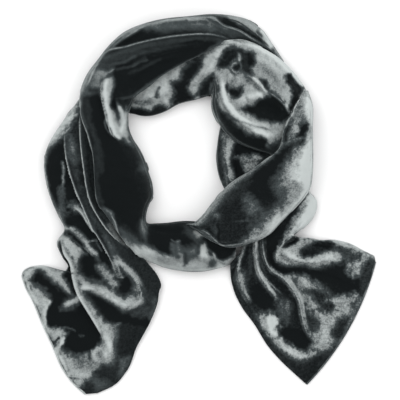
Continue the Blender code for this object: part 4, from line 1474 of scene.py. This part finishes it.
    def strokes(self) -> tuple[Stroke | Patch, ...]:
        """List the laid pile and the painted light and shade from the bottom round to the top."""
        return (
            # Bottom of the ring
            Patch((145, 220, 175, 219, 240, 220, 240, 240, 214, 244, 204, 246, 190, 250, 180, 252, 166, 250,
                   154, 246, 148, 236), 0.02, 2.4),
            Patch((118, 229, 125, 233, 131, 236, 142, 244, 152, 249, 160, 253, 167, 256, 176, 257, 186, 260,
                   196, 256, 208, 256, 213, 256, 219, 260, 226, 260, 232, 257, 238, 249, 244, 243, 252, 246,
                   244, 262, 230, 270, 208, 275, 183, 274, 163, 270, 151, 266, 140, 260, 129, 250, 120, 240),
                   0.76, 2.0),
            # painted sheen along the lower edge, lightest at the edge
            Stroke((122, 238, 130, 249, 140, 257, 150, 262, 166, 267), 2.4, 1.08),
            Stroke((166, 267, 184, 270, 206, 271, 224, 267), 2.0, 0.98),
            Patch((171, 244, 178, 241, 181, 248, 182, 257, 176, 258, 172, 252), 0.42, 1.8),
            Stroke((171.5, 239.5, 175, 242, 179, 240.5), 0.8, 0.44),
            Patch((183, 249, 198, 244, 199, 258, 184, 259), 0.4, 2.8),
            Stroke((185, 250, 185.5, 257, 184.5, 264), 1.6, 0.27),
            Patch((201, 245, 205, 243, 207.5, 250, 208, 259, 204, 268, 197, 268, 196, 258, 200, 253), 0.72,
                   1.4),
            Patch((184, 227, 192, 226, 200, 229, 205, 232, 207, 238, 203, 243, 196, 242, 190, 237, 185, 231),
                   0.28, 2.6),
            Patch((194.5, 231.5, 200, 230, 204.5, 231, 206, 234, 203, 237.5, 197.5, 236.5), 0.84, 1.8),
            Patch((208, 240, 214, 244, 220, 248, 233, 247, 231.5, 254, 226, 257, 220, 257.5, 215, 253,
                   210, 248), 0.01, 1.3),
            Patch((210, 258, 214, 257.5, 217, 263, 215, 267, 208.5, 267), 0.27, 1.8),
            Stroke((213, 253, 215.5, 257.5, 219, 261.5, 224, 263.5), 1.1, 0.56),
            # Main dark face
            Patch((112, 226, 125, 228, 134, 236, 140, 244, 133, 246, 124, 240, 116, 234), 0.3, 3.0),
            Patch((105, 213, 113, 217, 116, 226, 121, 236, 114, 232, 108, 224), 0.32, 2.2),
            Stroke((99, 205, 106, 210, 112, 214), 2.2, 0.6),
            Patch((98, 141, 112, 142, 128, 144, 138, 148, 147, 162, 153, 178, 156, 195, 152, 207, 149, 217,
                   137, 220, 120, 216, 106, 202, 98, 180), 0.03, 2.0),
            Patch((141, 163, 146, 166, 147, 171, 139, 170), 0.3, 2.4),
            # painted glow along the main face's crest
            Stroke((94, 150, 96, 172, 97, 192, 102, 204), 3.0, 0.14),
            # painted soft light along the main face's left edge
            Stroke((80.5, 98, 82, 114, 87, 128), 2.2, 0.34),
            # Shoulder and light flap
            Patch((82, 94, 85, 82, 91, 71, 98, 66, 106, 66, 113, 70, 108, 77, 104, 84, 102, 93, 96, 94,
                   88, 97), 0.5, 3.0),
            Stroke((91, 90, 97, 91), 2.6, 0.12),
            Stroke((101, 66, 108, 69), 2.4, 0.14),
            Stroke((101, 78, 108, 73, 114, 71), 1.0, 0.5),
            # painted shade under the shoulder, lifted a little by the next stroke
            Patch((84, 98, 100, 95, 102, 104, 104, 118, 110, 131, 100, 140, 90, 128, 84, 112), 0.02, 2),
            Stroke((87, 101, 89, 116, 95, 134, 100, 152, 102, 170), 3.4, 0.14),
            Patch((102.3, 92, 103.2, 84, 105.5, 79, 109, 76.5, 113.5, 78, 115.4, 83, 114.5, 89, 112, 94,
                   110.6, 99, 110.8, 104, 113, 102, 116, 101, 119, 103, 124, 108, 128.2, 112, 127.8, 121,
                   128, 129, 126.5, 136, 121.5, 140, 116, 137, 111, 129, 108, 119, 105, 108, 103, 99), 0.58,
                   1.6),
            Stroke((107.5, 80, 105.8, 88, 106, 100, 108.3, 112, 111.5, 124, 115.5, 134, 119, 138.5), 2.0,
                    0.78),
            Stroke((121, 108, 123.5, 120, 122, 131), 1.6, 0.7),
            Stroke((106.2, 119, 105.8, 125, 108, 131, 112, 135.5), 0.8, 0.4),
            Patch((110.2, 105, 111, 101.5, 113, 100, 116, 100.8, 117.4, 106, 118.2, 112.5, 115, 112.5,
                   111.8, 109.5), 0.0, 1.0),
            Patch((112.5, 110, 118.3, 110.5, 119.3, 118, 119.6, 127, 117.2, 123, 114.3, 116.5), 0.3, 1.2),
            Stroke((130.5, 130, 132, 138, 136, 147, 142, 159), 2.4, 0.06),
            Patch((114, 101, 124, 99, 136, 95, 132, 107, 127, 111, 121, 105, 117, 103), 0.06, 1.6),
            # Outer top
            Patch((120, 66, 150, 58, 182, 48, 214, 42, 200, 55, 176, 65, 150, 80, 128, 94, 121, 98, 120, 86),
                   0.03, 3.4),
            Patch((98, 60, 106, 54, 122, 50, 140, 45.5, 158, 42, 180, 40, 176, 43, 156, 48, 138, 54, 122, 59,
                   108, 64, 101, 66), 0.24, 4.4),
            Stroke((104, 59, 120, 53.5, 138, 48.5, 154, 45), 1.5, 0.31),
            Stroke((106, 63, 120, 58.5, 140, 52, 158, 48), 1.2, 0.15),
            Stroke((110, 66, 124, 62, 136, 57), 1.3, 0.24),
            Stroke((118, 71, 130, 67, 146, 59), 1.3, 0.15),
            Stroke((130, 74, 142, 69, 160, 60), 1.6, 0.1),
            Stroke((133, 67.5, 141, 63, 147, 61), 1.0, 0.19),
            Patch((106, 52, 120, 40, 150, 28, 168, 34, 184, 24, 196, 28, 214, 33, 230, 38, 200, 34, 176, 37,
                   150, 40, 126, 46), 0.015, 2.0),
            # painted light on the upper part of the pleat, fading downwards
            Patch((144, 27.5, 158, 22, 180, 19.5, 202, 18.5, 214, 22.5, 224, 28, 240, 33, 234, 37, 220, 33.5,
                   204, 30, 190, 28.5, 174, 31, 158, 31), 0.42, 3.4),
            Stroke((150, 24.5, 168, 21.5, 184, 20), 1.6, 0.5),
            Stroke((188, 20, 202, 20.5, 214, 24.5, 226, 30), 1.6, 0.56),
            Stroke((120, 36, 136, 29, 150, 25), 2.2, 0.4),
            Stroke((150, 21, 166, 17.5, 185, 15.5, 204, 15, 220, 16), 1.6, 0.05),
            Stroke((217, 21.5, 221, 23), 1.0, 0.5),
            Patch((216, 16, 228, 18, 240, 24, 250, 30.5, 262, 39, 274, 50, 266, 46, 250, 36, 236, 30,
                   222, 24), 0.02, 1.4),
            Patch((228, 16, 244, 18, 256, 25, 261, 31, 256, 34, 244, 27, 235, 21), 0.44, 2.2),
            Stroke((230, 19, 240, 23.5, 250, 30, 260, 37, 270, 47), 1.1, 0.5),
            Stroke((259, 32, 261, 35), 2.0, 0.06),
            Stroke((263, 31, 267, 37.5, 271, 45), 2.6, 0.66),
        )


@dataclass
class RightEnd(Cloth):
    """The strand under the right side, its gathered neck, and the flat right end."""

    name: str = "right_end"
    nodes: tuple[str, ...] = ("right_under", "right_tail")
    held: Held = Held.LAID
    flat: tuple[float, float] = (0.2, 0.41)
    rests_on: tuple[str, ...] = ("long_strand",)
    area: float | None = 0.06
    base_tone: float = 0.12
    hem_tone: float = 0.42
    worn: float = 1.15
    seed: int = 71

    def sections(self) -> tuple[Section, ...]:
        """List the sections from the top right down to the right hem."""
        return (
            Section((283, 60), (240, 70), 22.0, 8.0, 8.0),
            Section((290, 79), (232, 88), 20.0, 8.0, 8.0),
            Section((293, 100), (226, 108), 20.0, 8.0, 8.0),
            Section((294, 120), (221, 126), 21.0, 8.0, 8.0),
            Section((294, 140), (218, 144), 22.0, 8.0, 9.0),
            Section((295, 160), (216.5, 160), 23.0, 8.0, 9.0),
            Section((299, 176), (219, 176), 24.0, 9.0, 9.0),
            Section((309, 190), (225, 190), 25.0, 9.0, 9.0),
            Section((317, 202), (234, 204), 25.0, 9.0, 9.0),
            Section((314, 216), (240, 216), 25.0, 9.0, 9.0),
            Section((305, 227), (243, 227), 25.0, 9.0, 9.0),
            Section((294, 235), (243, 238), 24.0, 9.0, 9.0, over=1.0),
            Section((301, 238), (241, 251), 21.0, 8.0, 8.0, 40.0, over=1.0),
            Section((310, 238), (232, 262), 16.0, 6.0, 7.0, 20.0, over=1.0),
            Section((321, 240), (231, 273), 10.0, 4.0, 5.0, 9.0, over=1.0),
            Section((333, 240), (234, 290), 7.0, 2.6, 3.0, 4.0, 2.0),
            Section((344, 242), (242, 307), 5.0, 2.4, 2.4, WALL, 4.0),
            Section((353, 245), (255, 325), 4.0, 2.4, 2.4, WALL, 6.0),
            Section((362, 250), (268, 346), 4.0, 2.4, 2.4, WALL, 8.0),
            Section((370, 254), (283, 363), 3.4, 2.4, 2.4, WALL, 10.0),
            Section((375, 257), (297, 376), 3.0, 2.4, 2.4, WALL, 12.0),
            Section((376, 262), (307, 385), 2.4, 2.4, 2.4, WALL, 13.0),
        )

    def folds(self) -> tuple[Fold, ...]:
        """List the folds from the inner side down to the hem."""
        return (
            Fold((228, 128, 226, 158, 231, 190), 4, 8, 8, 0.0, 0.2),
            Fold((238, 150, 238, 178), -4, 7, 7),
            Fold((240, 160, 262, 158), 3, 8, 8),
            Fold((306, 220, 299, 229, 291, 237, 281.5, 245.5, 276, 255, 278, 264), 6, 8, 6, 0.0, 0.6),
            Fold((285, 244, 297, 240), -5, 5, 5, fade=0.3),
            Fold((249, 236, 242, 253, 238, 271, 242, 289, 252, 306), 7, 5, 6, 0.0, 0.6),
            Fold((255, 236, 256, 257, 259, 273, 266, 285, 276, 298), 7, 5, 5, 0.0, 0.7),
            Fold((259, 262, 261, 271, 271, 283, 281, 293), -2.5, 2.5, 2.5),
            Fold((262, 234, 264, 254, 271, 270, 283, 278, 292, 288, 299.5, 302, 302, 315, 306, 330,
                  312, 342), 8, 7, 5, 0.0, 0.75, 0.12),
            Fold((268, 246, 268, 262, 276, 272, 300, 274, 330, 280, 352, 290), -5, 8, 8),
            Fold((280, 250, 290, 258, 310, 262, 334, 258), 5, 9, 8),
            Fold((300, 246, 320, 246, 334, 250), -3, 7, 7),
            Fold((312, 242, 340, 244, 366, 254), 3, 6, 8),
            Fold((276, 300, 268, 320, 276, 340, 300, 358, 318, 348, 326, 326), 4, 10, 10),
            Fold((300, 280, 310, 296, 314, 316), 3, 9, 9),
            Fold((322, 290, 326, 304), -3, 8, 8),
            Fold((330, 304, 346, 300, 360, 294), 3, 9, 9),
            Fold((322, 352, 338, 330, 350, 308), 2.5, 8, 8),
            Fold((286, 300, 288, 318), 2.5, 6, 6),
        )

    def strokes(self) -> tuple[Stroke | Patch, ...]:
        """List the laid pile and the painted light and shade from the inner side down to the hem."""
        return (
            # Inner side, seen under the crumpled piece
            Patch((214, 126, 222, 130, 222, 156, 226, 181, 214, 190), 0.16, 1.6),
            Patch((222, 134, 228, 136, 236, 141, 234, 149, 230, 157, 231, 166, 236, 173, 236, 180, 228, 182,
                   226, 173, 224, 163, 222, 156, 222, 145), 0.62, 1.8),
            Patch((236, 142, 262, 150, 266, 156, 240, 157, 243, 168, 246, 176, 236, 186, 234, 172, 231, 164,
                   231, 157, 234, 149), 0.01, 1.4),
            Patch((235, 157, 241, 156.5, 248, 155.5, 258, 154.5, 262, 158, 260, 164, 245, 175, 242, 166,
                   240, 160), 0.56, 1.8),
            # Outer curl: painted light and shade of its roundness, and a painted shadow along the wrap's edge
            Patch((304, 190, 295, 208, 282, 223, 266, 232, 262, 238, 263, 254, 270, 268, 276, 268, 274, 256,
                   280, 246, 286, 236, 290, 226, 295, 214, 302, 202), 0.03, 2.0),
            Patch((312, 184, 318, 193, 321, 203, 318, 217, 311, 228, 299, 233, 293, 238, 286, 243, 281, 249,
                   277, 255, 279, 247, 286, 236, 292, 226, 298, 214, 305, 202, 309, 193), 0.9, 2.0),
            # painted shadow along the wrap's edge
            Stroke((304, 206, 297, 216, 291, 226, 286, 235), 2.6, 0.5),
            Stroke((293, 236, 286, 242, 280, 248, 276.5, 256, 277, 262), 1.5, 0.8),
            # Gathered neck
            Patch((229, 262, 246, 240, 256, 238, 256, 262, 252, 284, 240, 296, 232, 282), 0.07, 2.0),
            Patch((238, 268, 242, 268, 247, 281, 246, 294, 240, 290, 236, 278), 0.52, 2.2),
            Stroke((245, 244, 241, 256, 238, 268), 1.2, 0.62),
            Stroke((250, 244, 251, 258, 250, 272), 2.4, 0.2),
            Stroke((255, 240, 256, 256, 258.5, 269, 263, 281, 270, 290, 276, 298), 2.2, 0.7),
            Patch((262, 280, 268, 284, 275, 296, 272, 294, 266, 290), 0.66, 1.8),
            Stroke((259.5, 246, 260, 260, 264, 270), 2.0, 0.26),
            Stroke((262, 272, 271, 283, 281, 293), 0.7, 0.55),
            Patch((266, 270, 276, 276, 286, 286, 294, 300, 290, 300, 280, 290, 270, 280), 0.03, 1.4),
            # Flat end, upper side
            Patch((276, 262, 280, 249, 288, 245, 298, 238, 310, 238, 320, 240, 312, 245, 303, 247, 300, 256,
                   306, 258, 314, 256, 322, 252.5, 328, 249.5, 338, 249.5, 344, 253, 345, 258, 338, 263,
                   316, 269, 307, 266, 294, 267, 284, 266), 0.7, 2.0),
            # painted shadow in the valley below the upper panel
            Patch((264, 244, 265, 256, 270, 268, 280, 273, 286, 277, 300, 275, 314, 281, 325, 286, 339, 296,
                   353, 293, 363, 293, 367, 281, 371, 267, 363, 267, 356, 276, 349, 272, 348, 264,
                   340, 264.5, 316, 270, 306, 267.5, 284, 266, 276, 263, 273, 256, 272, 249), 0.02, 1.8),
            Patch((301, 249, 310, 246, 318, 242.5, 331, 241.5, 334, 245.5, 330, 250, 322, 252, 314, 256,
                   303, 258), 0.04, 1.8),
            Patch((334, 246, 342, 246, 352, 250, 360, 255, 358, 260, 350, 260, 343, 256.5, 338, 251), 0.2,
                   2.4),
            Patch((332, 239.5, 340, 240, 354, 243.5, 368, 250.5, 377, 257, 374, 262, 366, 258, 356, 253.5,
                   346, 248.5, 337, 246), 0.62, 1.8),
            Patch((348, 264, 356, 261, 365, 256, 372, 258, 364, 266, 361, 275, 354, 278, 348, 271), 0.6,
                   2.4),
            Stroke((371, 262, 367, 276, 362, 290), 3.4, 0.14),
            # painted shade in the small hollow
            Patch((282.5, 247, 286, 240.5, 291, 236, 299.5, 236, 299, 240.5, 294.5, 245, 288, 248), 0.0,
                   0.7),
            # Flat end, middle
            Patch((250, 285, 259, 281, 263, 287, 270, 293, 276, 300, 275, 312, 262, 311, 253, 304), 0.01,
                   2.2),
            Patch((286, 278, 304, 276, 314, 282, 320, 285, 330, 295, 328, 299, 314, 290, 308, 291, 314, 299,
                   320, 305, 314, 311, 318, 318, 310, 316, 304, 304, 300, 293, 294, 286), 0.58, 2.8),
            Patch((309, 290, 320, 291, 330, 298, 335, 306, 332, 314, 327, 312, 320, 304), 0.06, 2.2),
            Patch((326, 300, 338, 297, 354, 296, 360, 299, 353, 306, 351, 315, 340, 322, 332, 332, 335, 340,
                   330, 348, 322, 353, 315, 352, 309, 348, 311, 340, 308, 336, 317, 331, 320, 324, 313, 316,
                   316, 310, 328, 313, 335, 311, 334, 306), 0.64, 2.6),
            Patch((306, 319, 314, 316, 319, 322, 317, 330, 308, 330), 0.16, 2.6),
            Patch((279, 303, 288, 301, 292, 309, 290, 320, 288, 328, 283, 318, 279, 311), 0.4, 2.8),
            Patch((279, 331, 288, 327, 301, 328, 305, 335, 311, 343, 306, 351, 297, 351, 288, 345, 281, 338),
                   0.0, 2.2),
            Patch((294, 298, 300, 306, 301, 328, 292, 328, 292, 310), 0.06, 2.0),
            # Flat end, lower side
            Patch((258, 315, 270, 312, 278, 318, 278, 331, 281, 340, 288, 346, 297, 351, 306, 352, 316, 350,
                   319, 354, 310, 360, 299, 363, 288, 357, 279, 351, 273, 344, 266, 336, 262, 326), 0.7,
                   2.4),
            Patch((263, 320, 271, 317, 276, 322, 276, 331, 270, 335, 265, 328), 0.95, 2.6),
            Patch((276, 351, 288, 360, 303, 365, 312, 360, 324, 354, 336, 356, 324, 374, 308, 387, 296, 376,
                   278, 360), 0.07, 2.2),
            Patch((333, 335, 342, 321, 352, 319, 346, 331, 342, 339), 0.08, 2.4),
            Stroke((362, 300, 354, 316, 346, 334, 339, 348), 1.8, 0.42),
            Stroke((233, 285, 244, 308, 258, 330, 274, 350, 292, 370), 2.4, 0.12),
        )

    def hem(self) -> np.ndarray:
        """Run along the last row, from corner to corner."""
        return np.column_stack((self.place[-1], np.full(self.place.shape[1], HEM_MIDDLE)))


@dataclass
class RightWrap(Cloth):
    """The wide smooth face that wraps over everything on the right."""

    name: str = "right_face"
    nodes: tuple[str, ...] = ("right_wrap",)
    held: Held = Held.FOLDED
    flat: tuple[float, float] = (0.12, 0.29)
    rests_on: tuple[str, ...] = ("light_band", "right_end", "long_strand")
    area: float | None = 0.025
    base_tone: float = 0.08
    crush: float = 0.6
    worn: float = 0.95
    seed: int = 91

    def sections(self) -> tuple[Section, ...]:
        """List the sections from the top point down to the bottom left point."""
        return (
            Section((307.5, 91), (304, 91), 26.0, 20.0, 24.0, over=1.0),
            Section((312, 104), (296, 104), 46.0, 18.0, 40.0, over=1.0),
            Section((312.5, 128), (284, 127), 56.0, 20.0, 46.0, over=1.0),
            Section((313, 150), (279, 148), 58.0, 18.0, 46.0, over=1.0),
            Section((312.5, 172), (264, 161), 58.0, 16.0, 38.0, over=1.0),
            Section((310, 188), (248, 172), 56.0, 16.0, 32.0, over=1.0),
            Section((303, 199), (234, 181), 54.0, 20.0, 26.0, over=1.0),
            Section((293, 210), (223, 190), 52.0, 24.0, 20.0, over=1.0),
            Section((281, 222), (214, 201), 50.0, 28.0, 14.0, over=1.0),
            Section((268, 235), (206, 211), 47.0, 30.0, 12.0, over=1.0),
            Section((250, 243), (200, 218), 44.0, 30.0, 12.0, over=1.0),
            Section((228, 247), (195, 222), 40.0, 28.0, 16.0, over=1.0),
            Section((210, 240), (191, 223), 35.0, 27.0, 20.0, over=1.0),
            Section((193, 228), (186, 223), 28.0, 22.0, 20.0, over=1.0),
        )

    def folds(self) -> tuple[Fold, ...]:
        """List the few soft folds of the face."""
        return (
            Fold((306, 96, 306, 150, 298, 192, 272, 222, 246, 238, 220, 241), 3, 12, 18),
            Fold((296, 114, 288, 150, 262, 182, 228, 210), 2, 14, 14),
            Fold((280, 146, 290, 142, 301, 138), 2.5, 3, 6, 0.0, 0.35),
            Fold((296, 124, 302, 136), -3, 7, 7),
            Fold((218, 214, 219, 240), -1.5, 5, 5),
            Fold((196, 229, 206, 232, 214, 239, 221, 245, 232, 245, 246, 242, 262, 236), 3, 4, 6, 0.0, 0.6),
        )

    def strokes(self) -> tuple[Stroke | Patch, ...]:
        """List the laid pile and the painted light and shade from the top point down."""
        return (
            Patch((302, 88, 310, 88, 314, 100, 316, 120, 308, 137, 300, 139, 294, 146, 284, 148, 283, 131,
                   289, 116, 297, 102), 0.5, 1.6),
            Patch((303, 94, 309, 92, 312, 104, 308, 116, 302, 112), 0.62, 2.8),
            Stroke((297, 108.5, 300.5, 107), 1.4, 0.36),
            Stroke((289.5, 124, 293, 121.5), 1.5, 0.3),
            Stroke((287, 127, 285.6, 135, 285, 144), 1.8, 0.14),
            # painted rim highlight
            Stroke((285, 127, 291, 116, 296.5, 105, 300, 97), 0.65, 0.72),
            Stroke((295, 122, 293, 134), 2.0, 0.55),
            # painted light towards the rounded right edge
            Stroke((312, 96, 314, 128, 314, 150), 5.0, 0.85),
            Patch((283, 149, 294, 144, 287, 154, 282, 164, 274, 176, 266, 186, 248, 186, 256, 172, 268, 161),
                   0.01, 2.6),
            # painted light, in steps, lighter towards the rounded right edge
            Patch((316, 118, 308, 136, 303, 142, 297, 146, 288, 155, 281, 165, 275, 176, 271, 184, 273, 192,
                   277, 200, 272, 207, 260, 212, 254, 222, 246, 236, 240, 248, 262, 242, 285, 226, 298, 212,
                   310, 198, 318, 180), 0.32, 2.6),
            Patch((318, 118, 310, 137, 305, 143, 299, 148, 291, 157, 285, 167, 281, 176, 281, 184, 287, 192,
                   286, 201, 277, 210, 266, 219, 257, 229, 250, 240, 262, 244, 285, 228, 298, 214, 312, 198,
                   320, 180), 0.58, 2.6),
            Patch((318, 118, 311, 137, 307, 147, 300, 155, 295, 164, 291, 173, 293, 179, 300, 183, 302, 190,
                   298, 200, 288, 209, 276, 218, 265, 230, 256, 240, 266, 242, 287, 228, 300, 214, 314, 198,
                   322, 180), 0.9, 2.4),
            # painted shade in the pocket and along its lower lip
            Patch((301, 118, 304.5, 118.5, 308, 122.5, 309, 128.5, 307.5, 134, 303, 138, 297, 140.5,
                   298, 132, 300, 126), 0.32, 1.8),
            Patch((306.5, 124.5, 302.5, 125, 299.7, 128.5, 297.2, 132.6, 294.6, 137.6, 291.8, 139.8,
                   299.3, 138, 303.6, 135.6, 305.6, 131.5, 306.6, 127.5), -0.03, 1.2),
            Patch((246, 187, 262, 186, 271, 189, 275, 197, 271, 205, 259, 204, 250, 199), 0.04, 2.4),
            Patch((241, 199, 248, 196, 255, 201, 259, 209, 257, 217, 250, 217, 246, 208), 0.42, 3.0),
            Stroke((236, 221, 250, 220.5, 264, 220), 1.0, 0.24),
            Patch((244, 238, 256, 232, 268, 232, 256, 242, 242, 246), 0.66, 2.6),
            Patch((212, 224, 217, 224, 217.5, 236, 213, 232), 0.22, 1.8),
            Patch((212, 214, 216, 210.5, 221, 213, 218, 218), 0.5, 2.0),
            Stroke((218, 224, 218.5, 240), 1.0, 0.02),
            Stroke((285, 144.5, 292, 141, 300, 138.5), 0.9, 0.4),
        )


@dataclass(frozen=True)
class Softbox:
    """A square light that looks at the scarf."""

    name: str
    place: tuple[float, float, float]
    size: float
    power: float

    def hang(self) -> None:
        """Make the light and turn it to the scarf's middle."""
        light = bpy.data.lights.new(self.name, "AREA")
        light.shape = "SQUARE"
        light.size = self.size
        light.energy = self.power
        lamp = bpy.data.objects.new(self.name, light)
        lamp.location = self.place
        lamp.rotation_euler = Vector(self.place).to_track_quat("Z", "Y").to_euler()
        bpy.context.scene.collection.objects.link(lamp)


@dataclass
class Studio:
    """A plain pale table, soft light, and a camera straight above. Its sizes are in metres."""

    view_steps: float = 400.0  # plan steps across the picture
    view_middle: Place = (200.0, 200.0)
    camera_height: float = 4.0
    sensor: float = 36.0
    focus_height: float = 0.02
    view_end: float = 20.0
    table_half: float = 3.0
    table_level: float = -0.0004
    table_tone: float = 0.92
    table_roughness: float = 0.9
    table_gloss: float = 0.1
    sky: float = 0.85
    lights: tuple[Softbox, ...] = (
        Softbox("key_light", (-0.9, 1.1, 1.9), 1.6, 21.0),
        Softbox("fill_light", (1.4, -0.7, 1.7), 1.7, 11.0),
        Softbox("rim_light", (1.0, 1.4, 0.9), 1.1, 6.5),
    )

    def build(self) -> None:
        """Make the table, the lights and the camera."""
        self._table()
        self._sky()
        for light in self.lights:
            light.hang()
        self._camera()

    def _table(self) -> None:
        """Lay a wide plain table under the scarf."""
        mesh = bpy.data.meshes.new("table")
        half, level = self.table_half, self.table_level
        corners = ((-half, -half, level), (half, -half, level), (half, half, level), (-half, half, level))
        mesh.from_pydata(corners, [], [(0, 1, 2, 3)])
        table = bpy.data.objects.new("table", mesh)
        bpy.context.scene.collection.objects.link(table)
        material = bpy.data.materials.new("table_white")
        material.use_nodes = True
        shader = material.node_tree.nodes["Principled BSDF"]
        shader.inputs["Base Color"].default_value = (*[self.table_tone] * 3, 1.0)
        shader.inputs["Roughness"].default_value = self.table_roughness
        shader.inputs["Specular IOR Level"].default_value = self.table_gloss
        mesh.materials.append(material)

    def _sky(self) -> None:
        """Fill the room with soft white light."""
        world = bpy.data.worlds.new("room")
        world.use_nodes = True
        background = world.node_tree.nodes["Background"]
        background.inputs["Color"].default_value = (1.0, 1.0, 1.0, 1.0)
        background.inputs["Strength"].default_value = self.sky
        bpy.context.scene.world = world

    def _camera(self) -> None:
        """Hang the camera straight above, with a long lens."""
        lens = bpy.data.cameras.new("camera")
        lens.sensor_width = self.sensor
        across = self.view_steps * STEP * MM
        lens.lens = self.sensor * (self.camera_height - self.focus_height) / across
        lens.clip_end = self.view_end
        camera = bpy.data.objects.new("camera", lens)
        middle = plan(self.view_middle) * MM
        camera.location = (middle[0], middle[1], self.camera_height)
        bpy.context.scene.collection.objects.link(camera)
        bpy.context.scene.camera = camera
        bpy.context.scene.view_settings.view_transform = "Standard"


def main() -> None:
    """Dress the scarf from the lowest cloth up, then light it."""
    logging.basicConfig(level=logging.INFO)
    velvet = CrushedPile().make()
    heap = Heap()
    left_end, light_band, long_strand = LeftEnd(), LightBand(), LongStrand()
    right_end, right_wrap = RightEnd(), RightWrap()
    # The light band is laid twice. Its low start is under the long strand, and its far end crosses over it
    left_end.form(heap)
    light_band.form(heap)
    low = light_band.over <= 0.0
    heap.add(left_end.place, left_end.height)
    heap.add(light_band.place[low], light_band.height[low])
    long_strand.form(heap)
    above = Heap()
    above.add(long_strand.place, long_strand.height)
    right_end.form(above)
    above.add(right_end.place, right_end.height)
    light_band.form(above)
    above.add(light_band.place, light_band.height)
    right_wrap.form(above)
    for cloth in (left_end, long_strand, right_end, light_band, right_wrap):
        cloth.build(velvet)
    Studio().build()


if __name__ == "__main__":
    main()
